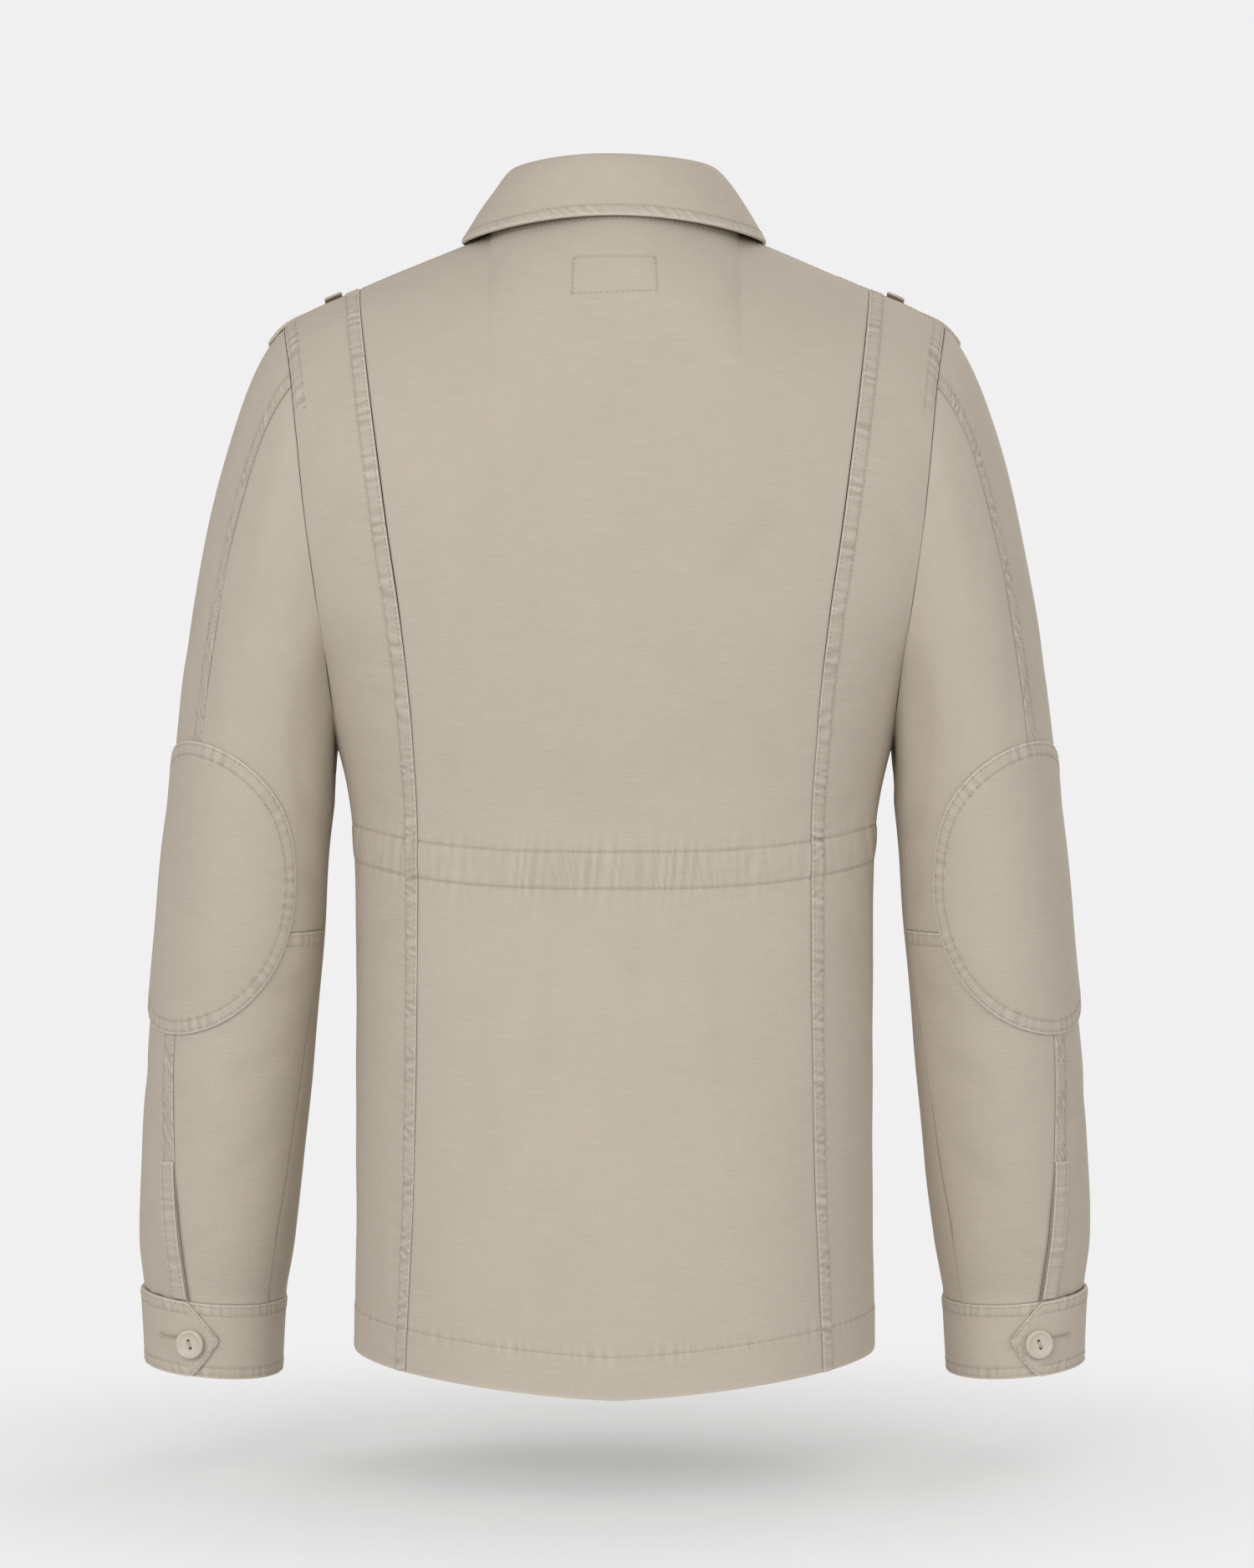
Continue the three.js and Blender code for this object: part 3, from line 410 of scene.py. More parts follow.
@dataclass(frozen=True)
class CastResin:
    """Button turned from a cast polyester sheet and tumbled matte: even, faintly cloudy, with turning marks."""

    name: str = "cast_resin"
    ground: str = "CFC4B5"
    cloud: str = "C0B4A3"
    roughness: float = 0.48
    ior: float = 1.56
    cloud_size: float = 4.0

    def make(self) -> bpy.types.Material:
        """Builds the material, with soft clouds in the resin and a fine tumbled surface."""
        material = bpy.data.materials.new(self.name)
        material.use_nodes = True
        tree = material.node_tree
        tree.nodes.clear()
        place = node(tree, "ShaderNodeTexCoord").outputs["Object"]
        clouds = node(tree, "ShaderNodeTexNoise", {"Vector": place, "Scale": 1 / (self.cloud_size * MM),
                                                   "Detail": 3.0, "Distortion": 0.6})
        tumbled = node(tree, "ShaderNodeTexNoise", {"Vector": place, "Scale": 1 / (0.5 * MM), "Detail": 2.0})
        body = node(tree, "ShaderNodeMix", {0: clouds.outputs["Fac"], 6: colour(self.ground), 7: colour(self.cloud)},
                    data_type="RGBA")
        bump = node(tree, "ShaderNodeBump", {"Strength": 0.25, "Distance": 0.05 * MM, "Height": tumbled.outputs["Fac"]})
        shader = node(tree, "ShaderNodeBsdfPrincipled", {
            "Base Color": body.outputs[2], "Roughness": self.roughness, "IOR": self.ior, "Normal": bump.outputs[0]})
        node(tree, "ShaderNodeOutputMaterial", {"Surface": shader.outputs[0]})
        return material


@dataclass(frozen=True)
class PaintedFloor:
    """Matte pale studio floor, rolled on, which thins out into the ground colour away from the jacket."""

    name: str = "painted_floor"
    ground: str = "F0F0F0"
    clear_from: float = 0.1
    clear_by: float = 0.6
    thinned: float = 0.6

    def make(self) -> bpy.types.Material:
        """Builds the material, matte near the jacket and clear far from it."""
        material = bpy.data.materials.new(self.name)
        material.use_nodes = True
        tree = material.node_tree
        tree.nodes.clear()
        place = node(tree, "ShaderNodeTexCoord").outputs["Object"]
        flat = node(tree, "ShaderNodeVectorMath", {0: place, 1: (1, 1, 0)}, operation="MULTIPLY")
        away = node(tree, "ShaderNodeVectorMath", {0: flat.outputs[0]}, operation="LENGTH")
        clear = node(tree, "ShaderNodeMapRange", {"Value": away.outputs["Value"], "From Min": self.clear_from,
                                                  "From Max": self.clear_by, "To Min": self.thinned},
                     interpolation_type="SMOOTHSTEP")
        roller = node(tree, "ShaderNodeTexNoise", {"Vector": place, "Scale": 1 / (3 * MM), "Detail": 2.0})
        bump = node(tree, "ShaderNodeBump", {"Strength": 0.1, "Distance": 0.2 * MM, "Height": roller.outputs["Fac"]})
        paint = node(tree, "ShaderNodeBsdfPrincipled", {
            "Base Color": colour(self.ground), "Roughness": 0.95, "Specular IOR Level": 0.1, "Normal": bump.outputs[0]})
        nothing = node(tree, "ShaderNodeBsdfTransparent")
        shader = node(tree, "ShaderNodeMixShader", {0: clear.outputs[0], 1: paint.outputs[0], 2: nothing.outputs[0]})
        node(tree, "ShaderNodeOutputMaterial", {"Surface": shader.outputs[0]})
        return material


class Finishes:
    """The jacket's materials, each made once."""

    def __init__(self) -> None:
        """Makes every material."""
        self.twill = WashedTwill("washed_twill", "BFB4A5").make()
        self.patch_twill = WashedTwill("patch_twill", "BFB4A5").make()
        self.thread = SewingThread().make()
        self.resin = CastResin().make()


def make_object(name: str, points: Array, faces: list, material: bpy.types.Material, sharp: float = 50.0,
                side: Side = Side.LEFT) -> bpy.types.Object:
    """Makes a mesh object that rides on the jacket's one body.

    Args:
        name: the piece's name.
        points: its vertices in mm, laid out for the left side.
        faces: vertex numbers of each face, seen from outside against the clock.
        material: its finish.
        sharp: edges that bend more than this many degrees stay crisp.
        side: the right side mirrors the points.

    Returns:
        The new object, in metres.
    """
    placed = points * (side.value * MM, MM, MM)
    turned = faces if side is Side.LEFT else [face[::-1] for face in faces]
    mesh = bpy.data.meshes.new(name)
    mesh.from_pydata(placed, [], turned)
    mesh.materials.append(material)
    mesh.polygons.foreach_set("use_smooth", np.ones(len(mesh.polygons), bool))
    mesh.set_sharp_from_angle(angle=math.radians(sharp))
    mesh.update()
    piece = bpy.data.objects.new(name, mesh)
    bpy.context.scene.collection.objects.link(piece)
    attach(piece, "root")
    return piece


@dataclass(frozen=True)
class SeamBand:
    """How a stitched seam shows along a piece: a raised, puckered band with a pale, turned edge that is abraded and
    carries a painted highlight, painted light and shade on its puckers and painted shade in its stitch grooves.
    """

    width: float = 8.6
    rows: tuple[float, ...] = (1.5, 8.3)
    rise: float = 0.5
    lip: float = 0.35
    pucker: float = 0.6
    pitch: float = 5.0
    drag: float = 0.45
    reach: float = 9.0


class Cloth:
    """One piece of cloth as rows and columns of points, whose relief and painted light and shade are worked up before
    it is cut.
    """

    def __init__(self, points: Array, facing: Array, lift: float = 0.0) -> None:
        """Measures the piece.

        Args:
            points: its outer face, rows by columns, in mm.
            facing: roughly the direction out of the cloth at each point.
            lift: how far the face is moved out first.
        """
        down, across = np.gradient(points, axis=(0, 1))
        square = unit(np.cross(down, across))
        self.flipped = float(np.mean(np.sum(square * unit(facing), axis=-1))) < 0
        self.out = -square if self.flipped else square
        self.points = points + self.out * lift
        self.height = np.zeros(points.shape[:2])
        self.shade = np.zeros(points.shape[:2])
        steps_across = np.linalg.norm(np.diff(self.points, axis=1), axis=2)
        steps_down = np.linalg.norm(np.diff(self.points, axis=0), axis=2)
        self.from_left = np.pad(np.cumsum(steps_across, axis=1), ((0, 0), (1, 0)))
        self.from_first = np.pad(np.cumsum(steps_down, axis=0), ((1, 0), (0, 0)))
        self.runs: list[tuple[Array, Array]] = []
        self.satins: list[tuple[Array, Array, float]] = []

    @property
    def face(self) -> Array:
        """The outer face with its relief."""
        return self.points + self.out * self.height[..., None]

    @property
    def from_right(self) -> Array:
        """Distance from the last column."""
        return self.from_left[:, -1:] - self.from_left

    @property
    def from_last(self) -> Array:
        """Distance from the last row."""
        return self.from_first[-1:] - self.from_first

    def work(self, height: Any = 0.0, shade: Any = 0.0) -> None:
        """Adds to the relief, in mm, and to the painted shade, from -1 for dark shade to 1 for pale, which stands for
        abraded wear and painted highlights.
        """
        self.height = self.height + height
        self.shade = self.shade + shade

    def roll(self, distance: Array, depth: float = 0.55, reach: float = 0.8, wear_and_highlight: float = 0.6) -> None:
        """Rounds a turned edge and paints it pale, as abraded wear and as a painted highlight where the edge catches
        the light.
        """
        self.work(-depth * groove(distance, reach), wear_and_highlight * groove(distance - 0.6, 0.9))

    def sway(self, depth: float, seed: float, size: float = 70.0) -> None:
        """Lets the cloth swell and sink softly, as cloth on a wearer does."""
        u, v = self.from_left, self.from_first
        wave = np.sin(TURN * (u + 0.4 * v) / size + seed) * np.sin(TURN * v / (size * 1.7) + 2.3 * seed)
        wave = wave + 0.6 * np.sin(TURN * (u * 0.8 - v * 0.5) / (size * 1.45) + 4.1 * seed)
        self.work(depth * wave * 0.6)

    def crease(self, start: tuple[float, float], end: tuple[float, float], width: float, depth: float,
               across: Array, along: Array) -> None:
        """Presses a soft fold that fades at both ends.

        Args:
            start: the fold's first end, in the units of across and along.
            end: its other end.
            width: its half width.
            depth: how deep it is, or how high if below 0.
            across: one coordinate of each point of the grid.
            along: the other coordinate.
        """
        run = np.array(end) - np.array(start)
        length = float(np.hypot(*run))
        u, v = across - start[0], along - start[1]
        share = (u * run[0] + v * run[1]) / length**2
        off = (u * run[1] - v * run[0]) / length
        taper = ease(share / 0.35) * ease((1 - share) / 0.35)
        valley = taper * groove(off, width)
        # The fold's valley is painted a little darker as shade
        self.work(-depth * valley, -0.08 * depth * valley)

    def band(self, distance: Array, along: Array, seed: float, spec: SeamBand = SeamBand(),
             window: Any = 1.0) -> None:
        """Raises a stitched seam band along an edge, with its puckers.

        Args:
            distance: distance from the edge at each point.
            along: distance along the edge.
            seed: shifts the puckers.
            spec: the band's sizes.
            window: where the band is, 1, or isn't, 0.
        """
        inside = ease((spec.width + 0.9 - distance) / 1.3)
        wave = ripple(along + 0.3 * distance, spec.pitch, seed)
        long_wave = ripple(along - 0.25 * distance, spec.pitch * 2.3, seed + 1.7)
        beyond = ease(distance / spec.width) * np.exp(-np.maximum(0, distance - spec.width) / spec.reach)
        pull = np.minimum(0, long_wave + 0.25) * spec.drag * beyond
        height = spec.rise * inside - spec.lip * groove(distance, 0.8) + spec.pucker * wave * inside + pull
        # Painted light and shade: the turned edge pale, as abraded wear and a painted highlight, the pucker crests
        # pale, and the pucker valleys, drag lines and stitch grooves darker as painted shade
        shade = 0.55 * groove(distance - 0.8, 0.9) + inside * (0.5 * wave - 0.08) + 0.4 * pull
        for at in spec.rows:
            height = height - 0.34 * groove(distance - at, 0.6)
            shade = shade - 0.2 * groove(distance - at, 0.7)
        self.work(height * window, shade * window)

    def trace(self, distance: Array, at: float, by_row: bool = True) -> tuple[Array, Array]:
        """Finds the line at one distance from an edge.

        Args:
            distance: distance from the edge at each point.
            at: the distance sought.
            by_row: one place for each row, or else for each column.

        Returns:
            The line's fractional rows and columns.
        """
        lines = distance if by_row else distance.T
        count = lines.shape[1]
        rising = lines[0, -1] > lines[0, 0]
        numbers = np.arange(count, dtype=float)
        found = np.array([np.interp(at, line, numbers) if rising else np.interp(at, line[::-1], numbers[::-1])
                          for line in lines])
        whole = np.arange(len(lines), dtype=float)
        return (whole, found) if by_row else (found, whole)

    def sample(self, grid: Array, rows: Array, columns: Array) -> Array:
        """Reads a grid of points between its rows and columns."""
        i = np.clip(rows.astype(int), 0, grid.shape[0] - 2)
        j = np.clip(columns.astype(int), 0, grid.shape[1] - 2)
        s, t = (rows - i)[:, None], (columns - j)[:, None]
        near = grid[i, j] * (1 - t) + grid[i, j + 1] * t
        return near * (1 - s) + (grid[i + 1, j] * (1 - t) + grid[i + 1, j + 1] * t) * s

    def stitch(self, line: tuple[Array, Array], keep: Optional[Callable[[Array], Array]] = None) -> None:
        """Runs a row of lockstitches along a line of fractional rows and columns.

        Args:
            line: the fractional rows and columns.
            keep: tells which of the line's points are sewn, from their places.
        """
        points = self.sample(self.face, *line)
        outs = unit(self.sample(self.out, *line))
        if keep is not None:
            kept = keep(points)
            points, outs = points[kept], outs[kept]
        self.runs.append((points, outs))

    def spot(self, x: Array, z: Array, seen: Array) -> tuple[Array, Array]:
        """The points of the face that lie at given places across and heights.

        Args:
            x: places across.
            z: heights.
            seen: which of the grid's points may be used.

        Returns:
            The points, and the directions out of the cloth there.
        """
        face = self.face.reshape(-1, 3)
        outs = self.out.reshape(-1, 3)
        face, outs = face[seen.ravel()], outs[seen.ravel()]
        nearest = [int(np.argmin((face[:, 0] - a) ** 2 + (face[:, 2] - b) ** 2)) for a, b in zip(x, z)]
        base, out = face[nearest], outs[nearest]
        y = base[:, 1] - (out[:, 0] * (x - base[:, 0]) + out[:, 2] * (z - base[:, 2])) / out[:, 1]
        return vector(x, y, z), out

    def cut(self, name: str, material: bpy.types.Material, wall: float = CLOTH_WALL, side: Side = Side.LEFT,
            every: int = 4) -> bpy.types.Object:
        """Makes the shell: the worked face, a plainer inside and the rim between them.

        Args:
            name: the new object's name.
            material: its finish.
            wall: the cloth's thickness.
            side: the right side is mirrored.
            every: the inside keeps each row and column of this number.

        Returns:
            The new object.
        """
        rows, columns = self.height.shape
        kept_rows = sorted({*range(0, rows, every), rows - 1})
        kept_columns = sorted({*range(0, columns, every), columns - 1})
        inside = (self.points - self.out * wall)[np.ix_(kept_rows, kept_columns)]
        numbers = np.arange(rows * columns).reshape(rows, columns)
        inner = rows * columns + np.arange(inside.shape[0] * inside.shape[1]).reshape(inside.shape[:2])
        faces = self.quads(numbers).tolist() + self.quads(inner)[:, ::-1].tolist()
        edge = self.boundary(numbers)
        at = {int(numbers[r, c]): int(inner[i, j]) for i, r in enumerate(kept_rows) for j, c in enumerate(kept_columns)}
        held = at[edge[0]]
        for first, second in zip(edge, edge[1:]):
            faces.append([first, second, held])
            if second in at and at[second] != held:
                faces.append([second, at[second], held])
                held = at[second]
        if self.flipped:
            faces = [face[::-1] for face in faces]
        points = np.concatenate([self.face.reshape(-1, 3), inside.reshape(-1, 3)])
        piece = make_object(name, points, faces, material, side=side)
        self.dye(piece.data, kept_rows, kept_columns)
        return piece

    @staticmethod
    def quads(numbers: Array) -> Array:
        """The four-cornered faces between a grid's vertex numbers."""
        corners = (numbers[:-1, :-1], numbers[1:, :-1], numbers[1:, 1:], numbers[:-1, 1:])
        return np.stack([corner.ravel() for corner in corners], axis=1)

    @staticmethod
    def boundary(numbers: Array) -> list[int]:
        """A grid's vertex numbers round its edge, back to the first."""
        sides = (numbers[0, :-1], numbers[:-1, -1], numbers[-1, :0:-1], numbers[:0:-1, 0], numbers[0, :1])
        return np.concatenate(sides).tolist()

    def dye(self, mesh: bpy.types.Mesh, kept_rows: list[int], kept_columns: list[int]) -> None:
        """Gives a mesh its cloth coordinates and its painted light and shade."""
        middle_row, middle_column = self.height.shape[0] // 2, self.height.shape[1] // 2
        u = self.from_left - self.from_left[:, middle_column : middle_column + 1]
        v = self.from_first[middle_row : middle_row + 1] - self.from_first
        laid = np.stack([u, v], axis=-1) / 100
        every = np.concatenate([laid.reshape(-1, 2), laid[np.ix_(kept_rows, kept_columns)].reshape(-1, 2)])
        corner = np.zeros(len(mesh.loops), dtype=np.int32)
        mesh.loops.foreach_get("vertex_index", corner)
        mesh.uv_layers.new(name="cloth").data.foreach_set("uv", every[corner].ravel())
        shade = np.concatenate([np.clip(self.shade, -1, 1).ravel(), np.zeros(len(kept_rows) * len(kept_columns))])
        mesh.attributes.new("shade", "FLOAT", "POINT").data.foreach_set("value", shade)

    def measures(self) -> str:
        """The piece's flat size and area, for the log."""
        cells = np.linalg.norm(np.cross(self.points[1:, :-1] - self.points[:-1, :-1],
                                        self.points[:-1, 1:] - self.points[:-1, :-1]), axis=-1)
        width, length = self.from_left[:, -1].max(), self.from_first[-1].max()
        return f"{width * MM:.3f} x {length * MM:.3f} m, {cells.sum() * MM * MM:.4f} m2"


class Sewing:
    """All the stitches on one piece, made as one mesh."""

    # Along a stitch: share of its length, height of the thread's middle, and the thread's radius
    SECTIONS = ((-0.5, -0.14, 0.0), (-0.28, 0.16, 0.31), (0.28, 0.16, 0.31), (0.5, -0.14, 0.0))
    ROUND = 5

    def __init__(self, stitch: float = 2.3, gap: float = 0.8) -> None:
        """Keeps the stitch's length and the gap after it."""
        self.stitch, self.gap = stitch, gap
        self.centres: list[Array] = []
        self.alongs: list[Array] = []
        self.outs: list[Array] = []
        self.lengths: list[Array] = []

    def spaced(self, points: Array, outs: Array, step: float) -> tuple[Array, Array, Array]:
        """Places at even steps along a line of points.

        Args:
            points: the line.
            outs: directions out of the cloth along it.
            step: distance between places.

        Returns:
            The places, the directions along the line and the directions out.
        """
        run = np.concatenate([[0], np.cumsum(np.linalg.norm(np.diff(points, axis=0), axis=1))])
        at = np.arange(step / 2, run[-1], step)
        places = np.stack([np.interp(at, run, points[:, k]) for k in range(3)], axis=1)
        away = unit(np.stack([np.interp(at, run, outs[:, k]) for k in range(3)], axis=1))
        ahead = np.stack([np.interp(at + 0.4, run, points[:, k]) for k in range(3)], axis=1)
        behind = np.stack([np.interp(at - 0.4, run, points[:, k]) for k in range(3)], axis=1)
        return places, unit(ahead - behind), away

    def run(self, points: Array, outs: Array) -> None:
        """Sews lockstitches along a line."""
        if len(points) < 2:
            return
        places, along, away = self.spaced(points, outs, self.stitch + self.gap)
        self.keep(places, along, away, self.stitch)

    def satin(self, points: Array, outs: Array, width: float, pitch: float = 0.5) -> None:
        """Sews close stitches across a line, as round a buttonhole or on a bar tack."""
        places, along, away = self.spaced(points, outs, pitch)
        self.keep(places, unit(np.cross(along, away)), away, width)

    def keep(self, places: Array, along: Array, away: Array, length: float) -> None:
        """Keeps stitches for the mesh."""
        self.centres.append(places)
        self.alongs.append(along)
        self.outs.append(away)
        self.lengths.append(np.full(len(places), length))

    def sew(self, name: str, material: bpy.types.Material, side: Side = Side.LEFT) -> bpy.types.Object:
        """Makes the kept stitches as one mesh.

        Args:
            name: the new object's name.
            material: the thread.
            side: the right side is mirrored.

        Returns:
            The new object.
        """
        centre, along, out = (np.concatenate(group) for group in (self.centres, self.alongs, self.outs))
        length = np.concatenate(self.lengths)
        aside = unit(np.cross(along, out))
        corners = []
        for share, height, radius in self.SECTIONS:
            middle = centre + along * (length * share)[:, None] + out * height
            turns = np.arange(self.ROUND) * TURN / self.ROUND if radius else [0.0]
            corners += [middle + out * radius * math.cos(a) + aside * radius * math.sin(a) for a in turns]
        one = len(corners)
        points = np.stack(corners, axis=1).reshape(-1, 3)
        ring = [(k, (k + 1) % self.ROUND) for k in range(self.ROUND)]
        pattern = [[0, 1 + a, 1 + b] for a, b in ring]
        pattern += [[1 + a, 1 + self.ROUND + a, 1 + self.ROUND + b, 1 + b] for a, b in ring]
        pattern += [[one - 1, 1 + self.ROUND + b, 1 + self.ROUND + a] for a, b in ring]
        faces = [[number + start for number in face] for start in range(0, len(points), one) for face in pattern]
        return make_object(name, points, faces, material, sharp=80.0, side=side)


def dress(cloth: Cloth, name: str, material: bpy.types.Material, finishes: Finishes,
          wall: float = CLOTH_WALL, side: Optional[Side] = None,
          sewing: Optional[Sewing] = None,
          every: int = 4) -> bpy.types.Object:
    """Args:
        cloth: the worked piece.
        name: the node that it stands for, without its side.
        material: its finish.
        finishes: all the materials.
        wall: its thickness in mm.
        side: the side that it is on, if it is one of a pair.
        sewing: stitches kept beforehand.
        every: how coarse its inside is.

    Returns:
        The new object.
    """
    node_name = f"{name}_{side.word}" if side else name
    on = side or Side.LEFT
    piece = cloth.cut(f"{node_name}_cloth", material, wall, on, every)
    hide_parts(node_name)
    sewn = sewing or Sewing()
    for points, outs in cloth.runs:
        sewn.run(points, outs)
    for points, outs, width in cloth.satins:
        sewn.satin(points, outs, width)
    threads = []
    if sewn.centres:
        threads = [sewn.sew(f"{node_name}_stitches", finishes.thread, on)]
    LOG.info("%s: %s, %d faces", node_name, cloth.measures(), len(piece.data.polygons))
    return piece


@dataclass(frozen=True)
class BodyForm:
    """The body's surface, by the turn round it and the height, and the levels that are sewn across it."""

    roundness: float = 2.4
    neck_point: float = -1.5
    neck_rise: float = 26.0
    back_neck: float = 8.0
    front_neck: float = -75.0
    round_at_neck: float = 62.0
    round_at_arm: float = 105.0
    round_reach: float = 110.0
    armhole_scoop: float = 5.0
    # Heights at the centre back, the side and the centre front, and how long each stays low
    hem: tuple[float, ...] = (-666, -651, -656, 1.3)
    casing_foot: tuple[float, ...] = (-380, -367, -372, 3)
    casing_head: tuple[float, ...] = (-359, -346, -351, 3)
    # Levels in mm above the hem: the hem, the casing's foot and head, the armpit and the top edge
    levels: tuple[float, ...] = (0.0, 286.0, 307.0, 368.0, 674.0)

    def ridge(self, x: Any) -> Array:
        """Height at which back and front meet: the shoulder line, rising up the neck inside it."""
        reach = np.abs(x) / NECK_HALF_WIDTH
        neck = self.neck_point + self.neck_rise * np.maximum(0, 1 - reach**2) ** 0.75
        return np.where(reach >= 1, SHOULDER_HEIGHT(np.abs(x)), neck)

    def top_edge(self, x: Any, half: Half) -> Array:
        """Height of the body's top edge: the shoulder line, or the neckline inside it."""
        reach = np.minimum(1, np.abs(x) / NECK_HALF_WIDTH)
        low, curve = (self.back_neck, 2.0) if half is Half.BACK else (self.front_neck, 2.4)
        return np.where(reach >= 1, self.ridge(x), mix(low, self.neck_point, reach**curve))

    def turn_of(self, x: Any, z: Any) -> Array:
        """The turn at which the body lies at a place across."""
        return np.arcsin(np.clip(x / HALF_WIDTH(z), -1, 1))

    def point(self, turn: Any, z: Any, back: Any) -> Array:
        """A point of the body's outer face.

        Args:
            turn: 0 at the centre and a quarter turn at the side.
            z: its height.
            back: 1 on the back, -1 on the front.

        Returns:
            The point.
        """
        x = HALF_WIDTH(z) * np.sin(turn)
        across = np.maximum(0, 1 - np.abs(np.sin(turn)) ** self.roundness) ** (1 / self.roundness)
        below = self.ridge(x) - z
        rounding = mix(self.round_at_neck, self.round_at_arm, ease(np.abs(x) / self.round_reach))
        fallen = 1 - np.clip(np.abs(below) / rounding, 0, 1)
        shoulder = np.sign(below) * np.sqrt(1 - fallen**2)
        depth = np.where(np.asarray(back) > 0, BACK_DEPTH(z), FRONT_DEPTH(z))
        return vector(x, back * (depth * across * shoulder + SEAM_GAP / 2), z + 2 * np.minimum(0, below))

    def normal(self, turn: Any, z: Any, back: Any) -> Array:
        """Direction out of the body's surface."""
        turned = self.point(turn + 0.002, z, back) - self.point(turn - 0.002, z, back)
        raised = self.point(turn, z + 0.3, back) - self.point(turn, z - 0.3, back)
        return unit(np.cross(turned, raised)) * -np.asarray(back, float)[..., None]

    def line(self, level: tuple[float, ...], turn: Any, half: Half) -> Array:
        """Height of a level line at one turn."""
        back, at_side, front, bow = level
        return mix(back if half is Half.BACK else front, at_side, np.abs(np.sin(turn)) ** bow)

    def height(self, level: Any, turn: Any, half: Half, top: Any) -> Array:
        """Height in the frame of a level in mm above the hem, whose rows close up under the top edge."""
        hem, foot, head = (self.line(line, turn, half) for line in (self.hem, self.casing_foot, self.casing_head))
        skirt, casing, waist, yoke = (np.clip((level - start) / (end - start), 0, 1)
                                      for start, end in zip(self.levels, self.levels[1:]))
        below = hem + (foot - hem) * skirt + (head - foot) * casing + (ARMPIT - head) * waist
        return below + (top - ARMPIT) * np.sin(yoke * HALF_TURN)

    def climb(self, level: Any) -> Array:
        """Share of the way from the armpit to the top at a level."""
        return np.sin(np.clip((level - self.levels[3]) / (self.levels[4] - self.levels[3]), 0, 1) * HALF_TURN)

    def armhole(self, climb: Any, back: Any) -> tuple[Array, Array]:
        """Turn and height of the armhole's edge, a share of the way up from the armpit."""
        z = mix(ARMPIT, self.ridge(SHOULDER_POINT), climb)
        scoop = np.where(np.asarray(back) < 0, 2 * self.armhole_scoop * np.sqrt(climb * (1 - climb)), 0)
        first_step = np.minimum(1, 12 * np.arccos(1 - 2 * climb) / PI)
        return mix(HALF_TURN, self.turn_of(ARMHOLE_X(z) - scoop, z), first_step), z

    def seam(self, level: Any) -> tuple[Array, Array]:
        """Place across and height of the shaped back seam at a level."""
        z = self.height(level, SEAM_TURN, Half.BACK, self.ridge(BACK_SEAM_TOP))
        return BACK_SEAM_X(z), z

    def centre_panel(self, levels: Array, shares: Array) -> Array:
        """Points of the back's centre panel, from the hem up and from seam to seam."""
        seam_x, seam_z = self.seam(levels[:, None])
        x = shares[None, :] * (seam_x - SEAM_GAP / 2)
        z = self.height(levels[:, None], self.turn_of(x, seam_z), Half.BACK, self.top_edge(x, Half.BACK))
        return self.point(self.turn_of(x, z), z, 1)

    def side_panel(self, levels: Array, shares: Array, half: Half) -> Array:
        """Points between the back seam or the front edge and the armhole or side seam.

        Args:
            levels: its rows, in mm above the hem.
            shares: its columns, 0 at the seam or front edge and 1 at the armhole.
            half: the back's side panel, or a front.

        Returns:
            The points.
        """
        level, share = levels[:, None], shares[None, :]
        if half is Half.BACK:
            seam_x, seam_z = self.seam(level)
            seam_x, seam_top = seam_x + SEAM_GAP / 2, BACK_SEAM_TOP
        else:
            seam_x, seam_z, seam_top = -FRONT_LAP, self.casing_foot[2], -FRONT_LAP
        climb = self.climb(level)
        edge_turn, _ = self.armhole(climb, half.value)
        top_x = mix(seam_top, SHOULDER_POINT, share)
        even = mix(self.turn_of(seam_x, seam_z), edge_turn, share)
        z = self.height(level, even, half, self.top_edge(top_x, half))
        even_x = HALF_WIDTH(z) * np.sin(mix(self.turn_of(seam_x, z), edge_turn, share))
        top = self.ridge(SHOULDER_POINT)
        even_top = HALF_WIDTH(top) * np.sin(mix(self.turn_of(seam_top, top), self.turn_of(SHOULDER_POINT, top), share))
        x = even_x + (top_x - even_top) * climb
        # At the top edge itself the height follows the place exactly, so the shoulder seam closes
        z = self.height(level, even, half, self.top_edge(mix(top_x, x, climb**30), half))
        return self.point(self.turn_of(x, z), z, half.value)


def hemmed(cloth: Cloth, row: float, seed: float) -> None:
    """Turns up a hem along the first row of points, with one row of stitches."""
    edge = cloth.from_first
    inside = ease((row + 0.8 - edge) / 1.2)
    pucker = ripple(cloth.from_left, 6.5, seed) * groove(edge - row, 4.5)
    # Painted shade darkens the stitch groove, and the puckers get painted light on their crests and painted shade in
    # their valleys
    cloth.work(0.35 * inside - 0.38 * groove(edge - row, 0.6) + 0.26 * pucker, -0.2 * groove(edge - row, 0.7))
    cloth.work(0.0, 0.22 * pucker)
    cloth.roll(edge)
    cloth.stitch(cloth.trace(edge, row, by_row=False))


def seamed(cloth: Cloth, distance: Array, window: Any = 1.0, dip: Any = 0.25) -> None:
    """Turns a plain seam's edge down into its seam, with a fine dark line of painted shade along it."""
    cloth.work(-dip * groove(distance, 0.8) * window, -0.35 * groove(distance, 0.6) * window)


